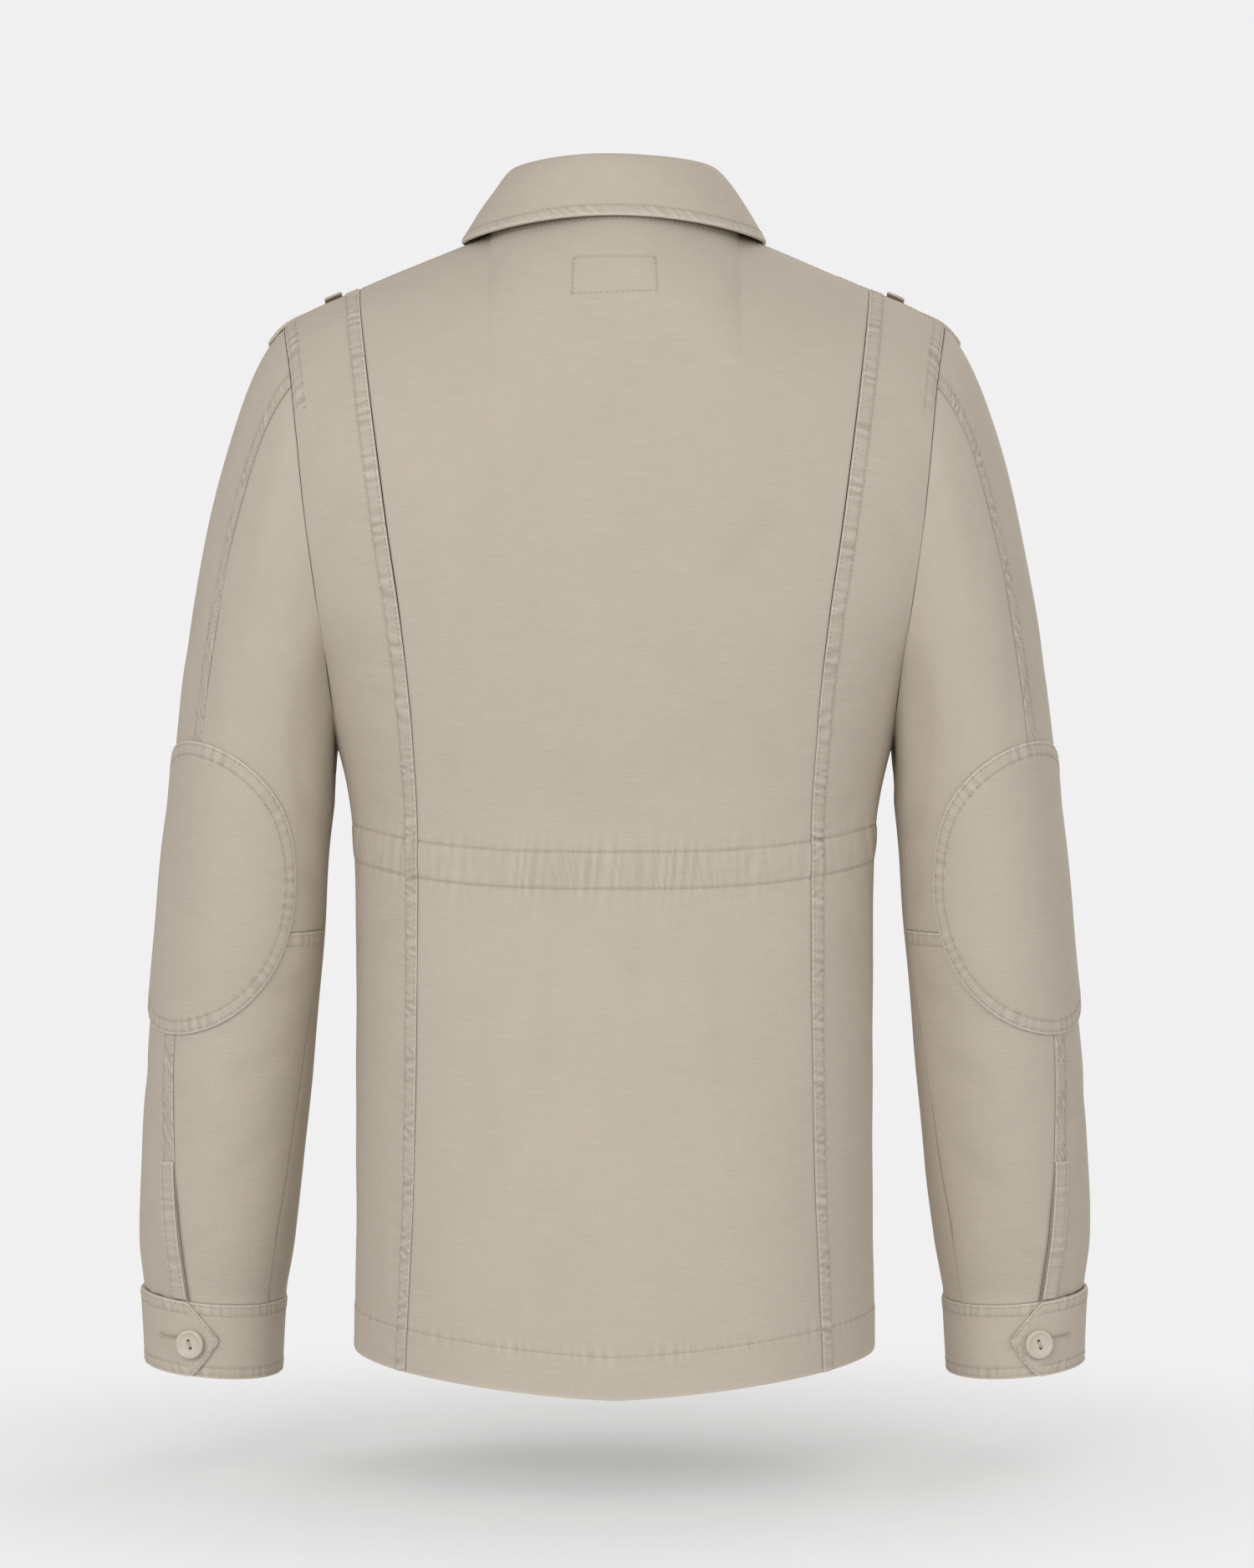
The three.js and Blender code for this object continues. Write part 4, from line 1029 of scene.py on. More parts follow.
def buttonhole(cloth: Cloth, start: tuple[float, float], end: tuple[float, float], seen: Array) -> None:
    """Works a keyhole buttonhole: a cut with close stitches round it.

    Args:
        cloth: the piece that it is in.
        start: place across and height of its eye.
        end: place across and height of its other end.
        seen: which of the grid's points lie on its layer.
    """
    first, last = np.array(start), np.array(end)
    length = float(np.hypot(*(last - first)))
    ahead = (last - first) / length
    aside = np.array([-ahead[1], ahead[0]])
    eye, edge = 1.5, 0.75
    turns = np.linspace(0.4, TURN - 0.4, 15)
    ring = [first - ahead * eye * 0.2 + eye * (ahead * math.cos(a) + aside * math.sin(a)) for a in turns]
    steps = np.linspace(0.25, 1, 9)
    there = [first + ahead * length * s + aside * edge for s in steps[::-1]]
    back_again = [first + ahead * length * s - aside * edge for s in steps]
    path = np.array(there + ring + back_again)
    x, z = cloth.points[..., 0], cloth.points[..., 2]
    share = np.clip(((x - first[0]) * ahead[0] + (z - first[1]) * ahead[1]) / length, 0, 1)
    off = np.hypot(x - first[0] - share * length * ahead[0], z - first[1] - share * length * ahead[1])
    # The cut is painted dark as the shade inside it
    cloth.work(-0.7 * groove(off, 0.5) * seen, -0.7 * groove(off, 0.5) * seen)
    points, outs = cloth.spot(path[:, 0], path[:, 1], seen)
    cloth.satins.append((points, outs, 1.3))


@dataclass
class Casing:
    """The waist casing with its elastic: two rows of stitches, gathered at the centre back."""

    body: BodyForm
    gathered_to: float = 58.0
    fade: float = 18.0
    # Creases across the centre back: place, slant, half width and depth
    creases: tuple[tuple[float, ...], ...] = (
        (-54.9, 0.06, 2.8, 0.5),
        (-48.0, -0.06, 2.5, 0.7),
        (-41.7, 0.0, 2.7, 0.6),
        (-35.3, 0.08, 2.5, 0.9),
        (-25.5, -0.06, 3.2, 0.8),
        (-14.2, 0.0, 2.4, 1.2),
        (-5.9, 0.06, 2.5, 0.7),
        (-0.5, -0.08, 2.2, 0.6),
        (6.4, 0.14, 2.4, 0.9),
        (15.2, 0.06, 2.7, 1.0),
        (22.1, -0.06, 2.4, 0.8),
        (28.9, 0.03, 2.6, 1.0),
        (36.3, 0.16, 2.4, 0.8),
        (42.1, 0.0, 2.2, 0.6),
        (48.0, -0.06, 2.6, 0.7),
    )

    def sew(self, cloth: Cloth, levels: Array, seed: float, gathered: bool) -> None:
        """Works the casing across a panel.

        Args:
            cloth: the panel, whose rows lie at the levels.
            levels: its rows' levels.
            seed: shifts the small puckers.
            gathered: whether the panel has the deep gathers of the centre back.
        """
        _, foot, head, _, _ = self.body.levels
        level = np.broadcast_to(levels[:, None], cloth.height.shape)
        x = cloth.points[..., 0]
        within = np.clip((level - foot) / (head - foot), 0, 1)
        hump = np.sin(PI * within) ** 0.6
        away = np.maximum(0, np.maximum(level - head, foot - level))
        near = np.exp(-away / 7.0)
        rows = groove(level - foot, 0.9) + groove(level - head, 0.9)
        small = ripple(x + 0.1 * level, 6.1, seed) + 0.5 * ripple(x - 0.2 * level, 3.7, seed + 2)
        depth = 0.2 if gathered else 0.26
        # Painted shade darkens the two stitched rows, and the small puckers get painted light and shade on the next
        # line
        cloth.work(0.7 * hump + depth * small * near * (0.35 + 0.65 * hump) - 0.5 * rows, -0.34 * rows)
        cloth.work(0.0, 0.2 * small * near)
        if gathered:
            middle = 1 - ease((np.abs(x) - self.gathered_to) / self.fade)
            valleys = np.zeros_like(x)
            for place, slant, width, deep in self.creases:
                valleys += deep * groove(x - place - slant * (level - (foot + head) / 2), width)
            reach = np.where(away > 0, 0.55 * np.exp(-away / 8.0), 0.45 + 0.55 * hump)
            # The gathers' valleys are painted darker as shade
            cloth.work(middle * reach * (0.9 - valleys), -0.14 * middle * reach * valleys)
        for at in (foot, head):
            cloth.stitch(cloth.trace(level, at, by_row=False))


@dataclass
class Back:
    """The back: a centre panel and two side panels, with shaped, double-stitched seams between them."""

    body: BodyForm
    finishes: Finishes
    casing: Casing
    band: SeamBand = SeamBand()
    hem_row: float = 24.5
    shoulder_row: float = 6.0
    # Half widths and heights of the stitches that hold the inside label: top and bottom
    label_top: tuple[float, float] = (23.4, -18.7)
    label_foot: tuple[float, float] = (24.5, -40.2)

    def levels(self, coarse: float) -> Array:
        """Rows of a back or front panel, close at its hem, its stitch rows and its top."""
        hem, foot, head, _, top = self.body.levels
        marks = (hem, self.hem_row, foot, head, top - self.shoulder_row, top)
        return spread(hem, top, coarse, marks, fine=0.9, reach=1.6)

    def centre(self) -> None:
        """Makes the centre panel."""
        levels = self.levels(2.7)
        width = 116.0
        marks = (-width, -width + 2, width - 2, width)
        inner = spread(-62, 62, 1.05)
        left = spread(-width, -62, 2.7, marks)
        places = np.concatenate([left[:-1], inner, -left[::-1][1:]])
        cloth = Cloth(self.body.centre_panel(levels, places / width), np.array([0.0, 1.0, 0.0]))
        cloth.sway(0.45, 1.3, 95.0)
        x, z = cloth.points[..., 0], cloth.points[..., 2]
        for fold in (((-58, -400), (-66, -520), 9, 0.7), ((34, -395), (47, -500), 8, 0.55),
                     ((-12, -392), (-9, -455), 6, 0.5), ((78, -420), (70, -560), 10, 0.6),
                     ((-96, -150), (-60, -210), 10, 0.45), ((88, -170), (52, -235), 10, 0.45),
                     ((-30, -338), (-38, -285), 6, 0.5), ((20, -340), (26, -292), 5, 0.45),
                     ((-104, -330), (-84, -288), 6, 0.5), ((102, -334), (86, -282), 6, 0.5)):
            cloth.crease(*fold, across=x, along=z)
        self.casing.sew(cloth, levels, 0.6, gathered=True)
        for edge in (cloth.from_left, cloth.from_right):
            seamed(cloth, edge)
        hemmed(cloth, self.hem_row, 0.2)
        cloth.work(0.3 * ease((self.shoulder_row + 0.7 - cloth.from_last) / 1.2), 0.0)
        cloth.work(-0.35 * groove(cloth.from_last - self.shoulder_row, 0.7))
        cloth.stitch(cloth.trace(cloth.from_last, self.shoulder_row, by_row=False))
        self.label(cloth)
        dress(cloth, "back_centre_panel", self.finishes.twill, self.finishes)

    def label(self, cloth: Cloth) -> None:
        """Runs the four rows of stitches that hold the label inside the neck."""
        (top_x, top_z), (foot_x, foot_z) = self.label_top, self.label_foot
        corners = [(top_x, top_z), (foot_x, foot_z), (-foot_x, foot_z + 2), (-top_x, top_z), (top_x, top_z)]
        x, z = cloth.points[..., 0], cloth.points[..., 2]
        for (x0, z0), (x1, z1) in zip(corners, corners[1:]):
            steps = np.linspace(0, 1, 40)
            upright = abs(z1 - z0) > abs(x1 - x0)
            share = np.clip(((x - x0) * (x1 - x0) + (z - z0) * (z1 - z0)) / math.hypot(x1 - x0, z1 - z0) ** 2, 0, 1)
            off = np.hypot(x - mix(x0, x1, share), z - mix(z0, z1, share))
            # The stitch grooves are painted darker as shade, the upright rows more than the level ones
            cloth.work(-0.28 * groove(off, 0.8), (-0.3 if upright else -0.12) * groove(off, 0.9))
            cloth.runs.append(cloth.spot(mix(x0, x1, steps), mix(z0, z1, steps), cloth.out[..., 1] > 0.1))

    def sides(self) -> None:
        """Makes both side panels."""
        for side in Side:
            levels = self.levels(2.2)
            width = 92.0
            marks = (0.0, 1.5, self.band.width - 0.3, width - 7.5, width - 1.5, width)
            shares = spread(0, width, 2.4, marks, fine=0.95, reach=1.8) / width
            cloth = Cloth(self.body.side_panel(levels, shares, Half.BACK), np.array([0.5, 1.0, 0.0]))
            cloth.sway(0.35, 0.4 + side.seed, 60.0)
            x, z = cloth.points[..., 0], cloth.points[..., 2]
            self.casing.sew(cloth, levels, 1.1 + side.seed, gathered=False)
            cloth.band(cloth.from_left, cloth.from_first, 0.3 + side.seed, self.band)
            for fold in (((150, -150), (172, -196), 7, 0.5), ((128, -262), (158, -280), 6, 0.5),
                         ((126, -340), (150, -326), 6, 0.6), ((130, -396), (148, -430), 7, 0.6)):
                cloth.crease(*fold, across=x, along=z)
            high = ease((z + 112) / 14)
            cloth.band(cloth.from_right, cloth.from_first, 2.2 + side.seed,
                       SeamBand(8.2, (1.6, 7.5), 0.4, 0.5, 0.22, 7.0, 0.15, 8.0), high)
            seamed(cloth, cloth.from_right, 1 - high, np.where(z > ARMPIT + 1, -0.2, 0.1))
            hemmed(cloth, self.hem_row, 0.8 + side.seed)
            cloth.work(0.3 * ease((self.shoulder_row + 0.7 - cloth.from_last) / 1.2), 0.0)
            cloth.work(-0.35 * groove(cloth.from_last - self.shoulder_row, 0.7))
            cloth.stitch(cloth.trace(cloth.from_last, self.shoulder_row, by_row=False))
            for at in self.band.rows:
                cloth.stitch(cloth.trace(cloth.from_left, at))
            for at in (1.6, 7.5):
                cloth.stitch(cloth.trace(cloth.from_right, at), keep=lambda points: points[:, 2] > -106)
            dress(cloth, "back_side_panel", self.finishes.twill, self.finishes,
                  side=side)


@dataclass
class Fronts:
    """The two fronts. The wearer's right one laps over the left and carries the buttonholes."""

    body: BodyForm
    finishes: Finishes
    casing: Casing
    levels: Array
    hem_row: float = 24.5
    lap_slope: float = 24.0
    edge_row: float = 5.5
    placket_row: float = 36.0
    button_heights: tuple[float, ...] = (-98, -202, -306, -410, -514)
    buttonhole_from: float = -1.5
    buttonhole_to: float = 14.0

    def make(self) -> None:
        """Makes both fronts."""
        for side in Side:
            width = 245.0
            marks = (0.0, 1.0, self.edge_row, self.placket_row, width)
            shares = spread(0, width, 3.0, marks, fine=1.0, reach=1.2) / width
            points = self.body.side_panel(self.levels, shares, Half.FRONT)
            cloth = Cloth(points, np.array([0.3, -1.0, 0.0]))
            if side is Side.RIGHT:
                over = ease((FRONT_LAP + self.lap_slope - points[..., 0]) / self.lap_slope)
                cloth.points = cloth.points + cloth.out * ((DOUBLE_WALL + LAP_GAP) * over)[..., None]
            cloth.sway(0.5, 2.1 + side.seed, 90.0)
            x, z = cloth.points[..., 0], cloth.points[..., 2]
            for fold in (((60, -150), (110, -200), 10, 0.8), ((70, -330), (112, -300), 8, 0.8),
                         ((96, -250), (140, -276), 8, 0.9), ((64, -400), (72, -500), 9, 0.7),
                         ((110, -395), (118, -470), 8, 0.7), ((36, -560), (48, -470), 9, 0.5)):
                cloth.crease(*fold, across=x, along=z)
            self.casing.sew(cloth, self.levels, 3.1 + side.seed, gathered=False)
            for at in (self.edge_row, self.placket_row):
                line = cloth.from_left - at
                pucker = 0.14 * ripple(cloth.from_first, 6.0, at + side.seed) * groove(line, 3.5)
                # The stitch groove is painted darker as shade
                cloth.work(0.2 * ease(-line) - 0.35 * groove(line, 0.6) + pucker, -0.3 * groove(line, 0.7))
                cloth.stitch(cloth.trace(cloth.from_left, at))
            cloth.roll(cloth.from_left)
            seamed(cloth, cloth.from_right, dip=np.where(z > ARMPIT + 1, -0.2, 0.1))
            seamed(cloth, cloth.from_last)
            hemmed(cloth, self.hem_row, 3.8 + side.seed)
            if side is Side.RIGHT:
                for height in self.button_heights:
                    buttonhole(cloth, (self.buttonhole_from, height), (self.buttonhole_to, height),
                               cloth.out[..., 1] < -0.1)
            dress(cloth, "front", self.finishes.twill, self.finishes, side=side)


@dataclass(frozen=True)
class SleeveForm:
    """The left sleeve's surface, by the angle round it: 0 at its back, a quarter turn at its outer side."""

    body: BodyForm
    armhole_gap: float = 0.45
    # How the cap leaves the armhole, at the armpit and at the shoulder, and how it meets the ring below
    leave_out: tuple[float, float] = (2.0, 110.0)
    leave_down: tuple[float, float] = (37.0, 97.0)
    leave_back: float = 8.0
    arrive_out: tuple[float, float] = (1.0, 20.0)
    arrive_back: float = -4.0
    arrive_down: float = 0.98
    # Angles in degrees of the outer and the under seam where they meet the armhole
    cap_seams: tuple[float, float] = (45.0, -90.0)
    tilt_outer: float = 3.2
    tilt_back: float = 3.5
    tilt_from: float = -598.0

    def ring(self, angle: Any, z: Any) -> Array:
        """A point of the sleeve below its cap."""
        return vector(RING_ACROSS(z) + RING_WIDTH(z) * np.sin(angle), RING_FORWARD(z) + RING_DEPTH(z) * np.cos(angle), z)

    def cap(self, angle: Any, share: Any) -> Array:
        """A point of the cap: share 0 at the armhole, 1 at the ring under the armpit."""
        upper = (1 + np.sin(angle)) / 2
        back = np.where(np.cos(angle) >= 0, 1.0, -1.0)
        start = self.body.point(*self.body.armhole(upper, back), back) + (self.armhole_gap, 0, 0)
        foot = self.ring(angle, CAP_FOOT)
        lean = np.cos(angle)
        leave = vector(mix(*self.leave_out, upper), self.leave_back * lean, -mix(*self.leave_down, upper))
        fall = (foot[..., 2] - start[..., 2]) * self.arrive_down
        arrive = vector(mix(*self.arrive_out, upper), self.arrive_back * lean, fall)
        t = np.asarray(share, float)[..., None]
        ends = start * (2 * t**3 - 3 * t**2 + 1) + foot * (3 * t**2 - 2 * t**3)
        return ends + leave * (t**3 - 2 * t**2 + t) + arrive * (t**3 - t**2)

    def cuff_seam(self, angle: Any) -> Array:
        """Height of the seam between sleeve and cuff."""
        return CUFF_SEAM + self.tilt_outer * np.sin(angle) - self.tilt_back * np.cos(angle)

    def seams(self, caps: Array, heights: Array) -> tuple[Array, Array]:
        """Angles of the outer and the under seam, down the cap's rows and then the rows below it."""
        at_outer, at_under = self.cap_seams
        outer = np.concatenate([mix(at_outer, OUTER_SEAM(CAP_FOOT), caps), OUTER_SEAM(heights)])
        under = np.concatenate([mix(at_under, UNDER_SEAM(CAP_FOOT), caps), UNDER_SEAM(heights)])
        return np.radians(outer), np.radians(under)

    def surface(self, angle: Array, caps: Array, heights: Array) -> Array:
        """Points at the angles of a grid whose rows go down the cap and then the sleeve."""
        below = angle[len(caps) :]
        slope = np.clip((self.tilt_from - heights[:, None]) / (self.tilt_from - CUFF_SEAM), 0, 1)
        points = self.ring(below, heights[:, None] + (self.cuff_seam(below) - CUFF_SEAM) * slope)
        if len(caps) == 0:
            return points
        return np.concatenate([self.cap(angle[: len(caps)], caps[:, None]), points])

    def at_height(self, angle: Array, z: Array) -> Array:
        """Points at given angles and heights, on the cap or below it."""
        low, high = np.zeros_like(z), np.ones_like(z)
        for _ in range(24):
            middle = (low + high) / 2
            above = self.cap(angle, middle)[..., 2] > z
            low, high = np.where(above, middle, low), np.where(above, high, middle)
        return np.where((z > CAP_FOOT)[..., None], self.cap(angle, low), self.ring(angle, np.minimum(z, CAP_FOOT)))


@dataclass(frozen=True)
class PatchForm:
    """The oval elbow patch, laid over the sleeve's outer seam."""

    middle: float = -382.0
    half_height: float = 85.0
    half_angle: float = 84.0
    lean: float = 5.0
    gap: float = 0.7
    wall: float = 1.2
    radius: float = 82.0
    rows: tuple[float, float] = (1.6, 7.6)

    def reach(self, angle: Array, z: Array) -> Array:
        """How far a place is from the patch's middle: below 1 it lies under the patch."""
        v = (z - self.middle) / self.half_height
        u = (np.degrees(angle) - OUTER_SEAM(z) - self.lean - self.lean * v) / self.half_angle
        return np.hypot(u, v)


@dataclass
class Sleeves:
    """Both sleeves in three pieces each, with elbow patch, bound slit and cuff."""

    form: SleeveForm
    finishes: Finishes
    patch_form: PatchForm = PatchForm()
    band: SeamBand = SeamBand()
    cap_length: float = 280.0
    # The cuff, by angle round the wrist in degrees: its start, its tab's corner and its tab's tip
    cuff_start: float = 44.0
    tab_corner: float = -342.0
    tab_tip: float = -366.0
    cuff_depth: float = 43.5
    cuff_wall: float = 2.2
    cuff_stand: float = 0.6
    cuff_taper: float = 2.4
    cuff_rows: tuple[float, float] = (1.5, 6.4)
    tab_top: float = 0.45
    tab_foot: float = 0.51

    def make(self) -> None:
        """Makes both sleeves."""
        for side in Side:
            self.top(side)
            self.under(side)
            self.patch(side)
            self.placket(side)
            self.cuff(side)

    def facing(self, points: Array) -> Array:
        """Roughly the direction out of the sleeve."""
        z = np.minimum(points[..., 2], CAP_FOOT)
        return vector(points[..., 0] - RING_ACROSS(z), points[..., 1] - RING_FORWARD(z), 0 * z)

    def cap_shares(self) -> Array:
        """The cap's rows, as shares, close together at the armhole."""
        return spread(0, self.cap_length, 3.0, (0.0,), fine=1.0, reach=2.0) / self.cap_length

    def ease_in(self, cloth: Cloth, seed: float) -> None:
        """Eases the cap into the armhole, with small puckers beside the seam."""
        edge = cloth.from_first
        seamed(cloth, edge, dip=-0.2)
        cloth.work(0.2 * ripple(cloth.from_left, 11.0, seed) * groove(edge - 5, 7) * ease(edge / 3))

    def top(self, side: Side) -> None:
        """Makes the top sleeve, which reaches from the outer seam round the front to the under seam."""
        form, seed = self.form, side.seed
        caps = self.cap_shares()
        heights = CAP_FOOT - spread(0, CAP_FOOT - CUFF_SEAM, 2.9, (CAP_FOOT - CUFF_SEAM,), fine=1.0, reach=2.0)[1:]
        outer, under = form.seams(caps, heights)
        width, edge = 225.0, SEAM_GAP / 2 / RING_WIDTH(ELBOW)
        shares = spread(0, width, 2.8, (0.0, 1.5, 8.3, width), fine=0.95, reach=1.6) / width
        angle = mix((outer + edge)[:, None], (under + TURN - edge)[:, None], shares[None, :])
        points = form.surface(angle, caps, heights)
        cloth = Cloth(points, self.facing(points))
        z = points[..., 2]
        outside = self.patch_form.reach(angle, z)
        cloth.sway(0.6, 0.9 + seed, 85.0)
        for fold in (((20, -190), (62, -262), 11, 0.8), ((34, -480), (70, -520), 9, 0.8),
                     ((90, -250), (120, -330), 12, 1.0), ((150, -380), (190, -350), 9, 1.0),
                     ((140, -420), (196, -402), 8, 1.1), ((120, -470), (180, -500), 10, 0.9),
                     ((60, -560), (100, -590), 8, 0.6), ((18, -560), (40, -600), 7, 0.5)):
            cloth.crease(*fold, across=cloth.from_left + 14 * seed, along=z + 18 * seed)
        above_slit = ease((z - SLIT_HEAD) / 3)
        cloth.band(cloth.from_left, cloth.from_first, 0.7 + seed, self.band, ease((outside - 1) / 0.03) * above_slit)
        self.ease_in(cloth, 0.4 + seed)
        seamed(cloth, cloth.from_right)
        seamed(cloth, cloth.from_last)
        cloth.work(0.35 * ripple(cloth.from_left, 13.0, seed) * np.exp(-cloth.from_last / 7))
        cloth.height *= ease((outside - 0.94) / 0.05)
        for at in self.band.rows:
            cloth.stitch(cloth.trace(cloth.from_left, at), keep=self.off_patch)
        row = np.interp(-SLIT_HEAD, -z[:, 4], np.arange(len(z)))
        tack = np.interp(np.linspace(0.8, 9.2, 8), cloth.from_left[int(row)], np.arange(len(shares)))
        at = np.full(len(tack), row)
        cloth.satins.append((cloth.sample(cloth.face, at, tack), cloth.sample(cloth.out, at, tack), 2.0))
        dress(cloth, "sleeve_top", self.finishes.twill, self.finishes, side=side)

    def off_patch(self, points: Array) -> Array:
        """Which points of a line down the outer seam are clear of the patch and above the slit."""
        form, z = self.patch_form, points[:, 2]
        return (z > form.middle + form.half_height + 1) | ((z < form.middle - form.half_height - 1) & (z > SLIT_HEAD))

    def under(self, side: Side) -> None:
        """Makes the under sleeve's two pieces, above and below the elbow seam."""
        form, seed = self.form, side.seed
        edge = SEAM_GAP / 2 / RING_WIDTH(ELBOW)
        width = 118.0
        shares = spread(0, width, 2.6, (0.0, width), fine=1.0, reach=1.5) / width
        over, below = ELBOW + SEAM_GAP / 2, ELBOW - SEAM_GAP / 2
        arm = spread(0, CAP_FOOT - over, 2.6, (CAP_FOOT - over,), fine=1.0, reach=2.0)
        fore = spread(0, below - CUFF_SEAM, 2.7, (0.0, 1.6, 7.5, below - CUFF_SEAM), fine=1.0, reach=1.5)
        parts = (("undersleeve_upper", self.cap_shares(), CAP_FOOT - arm[1:], (0.150, 0.235), 0.0245),
                 ("undersleeve_lower", np.array([]), below - fore, (0.112, 0.224), 0.019))
        for name, caps, heights, flat, area in parts:
            outer, inner = form.seams(caps, heights)
            angle = mix((inner + edge)[:, None], (outer - edge)[:, None], shares[None, :])
            points = form.surface(angle, caps, heights)
            cloth = Cloth(points, self.facing(points))
            z = points[..., 2]
            outside = self.patch_form.reach(angle, z)
            cloth.sway(0.5, 1.9 + seed, 62.0)
            for fold in (((8, -352), (60, -330), 8, 0.9), ((6, -388), (46, -372), 7, 0.8),
                         ((4, -432), (50, -446), 8, 0.9), ((10, -470), (64, -500), 9, 0.8),
                         ((8, -520), (52, -560), 9, 0.7), ((30, -575), (70, -602), 7, 0.5)):
                cloth.crease(*fold, across=cloth.from_left + 8 * seed, along=z + 12 * seed)
            seamed(cloth, cloth.from_left)
            seamed(cloth, cloth.from_right)
            lower = len(caps) == 0
            if lower:
                cloth.band(cloth.from_first, cloth.from_left, 1.2 + seed,
                           SeamBand(8.2, (1.6, 7.5), 0.35, 0.5, 0.2, 7.0, 0.15, 7.0))
                seamed(cloth, cloth.from_last)
                # The slit's opening beside the placket is painted dark as shadow
                open_slit = ease((SLIT_HEAD - z) / 30)
                slit = groove(cloth.from_right, 1.6) * open_slit
                cloth.work(-0.9 * slit, -1.0 * slit)
            else:
                self.ease_in(cloth, 1.4 + seed)
                seamed(cloth, cloth.from_last)
            cloth.height *= ease((outside - 0.94) / 0.05)
            if lower:
                for at in (1.6, 7.5):
                    line = cloth.trace(cloth.from_first, at, by_row=False)
                    clear = outside[0] > 1.01
                    cloth.stitch(line, keep=lambda points, clear=clear: clear)
            dress(cloth, name, self.finishes.twill, self.finishes, side=side)

    def patch(self, side: Side) -> None:
        """Makes the elbow patch on a square grid that is bent into its oval."""
        form, seed = self.patch_form, side.seed
        marks = (-form.radius, -form.radius + 1.6, -form.radius + 7.6, form.radius - 7.6, form.radius - 1.6, form.radius)
        lines = spread(-form.radius, form.radius, 2.5, marks, fine=0.9, reach=2.0) / form.radius
        lines = (lines - lines[::-1]) / 2
        v, u = np.meshgrid(lines, lines, indexing="ij")
        disc_u, disc_v = u * np.sqrt(1 - v**2 / 2), v * np.sqrt(1 - u**2 / 2)
        z = form.middle + form.half_height * disc_v
        angle = np.radians(OUTER_SEAM(z) + form.lean + form.lean * disc_v + form.half_angle * disc_u)
        points = self.form.at_height(angle, z)
        cloth = Cloth(points, self.facing(points), form.gap + form.wall)
        inward = (1 - np.hypot(disc_u, disc_v)) * form.radius
        round_it = np.arctan2(disc_v, disc_u) * form.radius
        cloth.sway(0.28, 2.7 + seed, 70.0)
        wave = ripple(round_it, TURN * form.radius / 70, 0.3 + seed)
        between = ease((form.rows[1] + 3 - inward) / 3)
        # The puckers between the rows get painted light on their crests and painted shade in their valleys
        cloth.work(0.42 * wave * between * ease(inward / 1.5) + 0.12, 0.3 * wave * between)
        for at in form.rows:
            # The stitch grooves are painted darker as shade
            cloth.work(-0.34 * groove(inward - at, 0.65), -0.32 * groove(inward - at, 0.75))
        cloth.roll(inward, depth=0.45)
        for at in form.rows:
            turn = np.linspace(0, TURN, 240)
            reach = 1 - at / form.radius
            across, along = reach * np.cos(turn), reach * np.sin(turn)
            cloth.stitch((self.unbend(along, across, lines), self.unbend(across, along, lines)))
        dress(cloth, "elbow_patch", self.finishes.patch_twill, self.finishes,
              wall=form.wall, side=side)

    @staticmethod
    def unbend(near: Array, far: Array, lines: Array) -> Array:
        """Fractional grid line of a place in the oval, from its coordinate along the axis sought and the other."""
        even = 2 + near**2 - far**2
        lean = 2 * math.sqrt(2) * near
        place = (np.sqrt(np.maximum(0, even + lean)) - np.sqrt(np.maximum(0, even - lean))) / 2
        return np.interp(place, lines, np.arange(len(lines)))

    def placket(self, side: Side) -> None:
        """Makes the bound edge beside the slit."""
        wall, width, length = 1.0, 10.0, 78.0
        down = spread(0, length, 1.7, (0.0, length), fine=0.9, reach=1.5) / length
        across = spread(0, width, 1.0, (0.0, 1.5, 8.4, width), fine=0.7, reach=1.0) / width
        level = (SLIT_HEAD + 4 - length * down)[:, None]
        angle = np.radians(OUTER_SEAM(level)) + 0.01 + across[None, :] * width / 48
        tilt = self.form.cuff_seam(angle) + 1 - (SLIT_HEAD + 4 - length)
        points = self.form.ring(angle, level + tilt * ease((down[:, None] - 0.7) / 0.3))
        cloth = Cloth(points, self.facing(points), SEAT_GAP + wall)
        pucker = ripple(cloth.from_first, 6.0, 1.1 + side.seed)
        # The puckers get painted light on their crests and painted shade in their valleys
        cloth.work(0.34 * pucker, 0.28 * pucker)
        for edge in (cloth.from_left, cloth.from_right, cloth.from_first):
            cloth.roll(edge, depth=0.4, reach=0.7, wear_and_highlight=0.45)
        for at in (1.5, 8.4):
            # The stitch grooves are painted darker as shade
            cloth.work(-0.25 * groove(cloth.from_left - at, 0.6), -0.25 * groove(cloth.from_left - at, 0.7))
            cloth.stitch(cloth.trace(cloth.from_left, at))
        dress(cloth, "sleeve_placket", self.finishes.twill, self.finishes, wall=wall, side=side)

    def cuff_place(self, angle: Any, share: Any, lift: Any) -> tuple[Array, Array]:
        """A point of the cuff and the direction out of it, by angle, share of its depth and lift."""
        ring_width, ring_depth = float(RING_WIDTH(CUFF_SEAM)), float(RING_DEPTH(CUFF_SEAM))
        out = unit(vector(np.sin(angle) / ring_width, np.cos(angle) / ring_depth, 0.0))
        x = RING_ACROSS(CUFF_SEAM) + (ring_width - self.cuff_taper * share) * np.sin(angle)
        y = RING_FORWARD(CUFF_SEAM) + (ring_depth - self.cuff_taper * share) * np.cos(angle)
        z = self.form.cuff_seam(angle) - SEAM_GAP - self.cuff_depth * share
        return vector(x, y, z) + out * np.asarray(self.cuff_stand + lift, float)[..., None], out

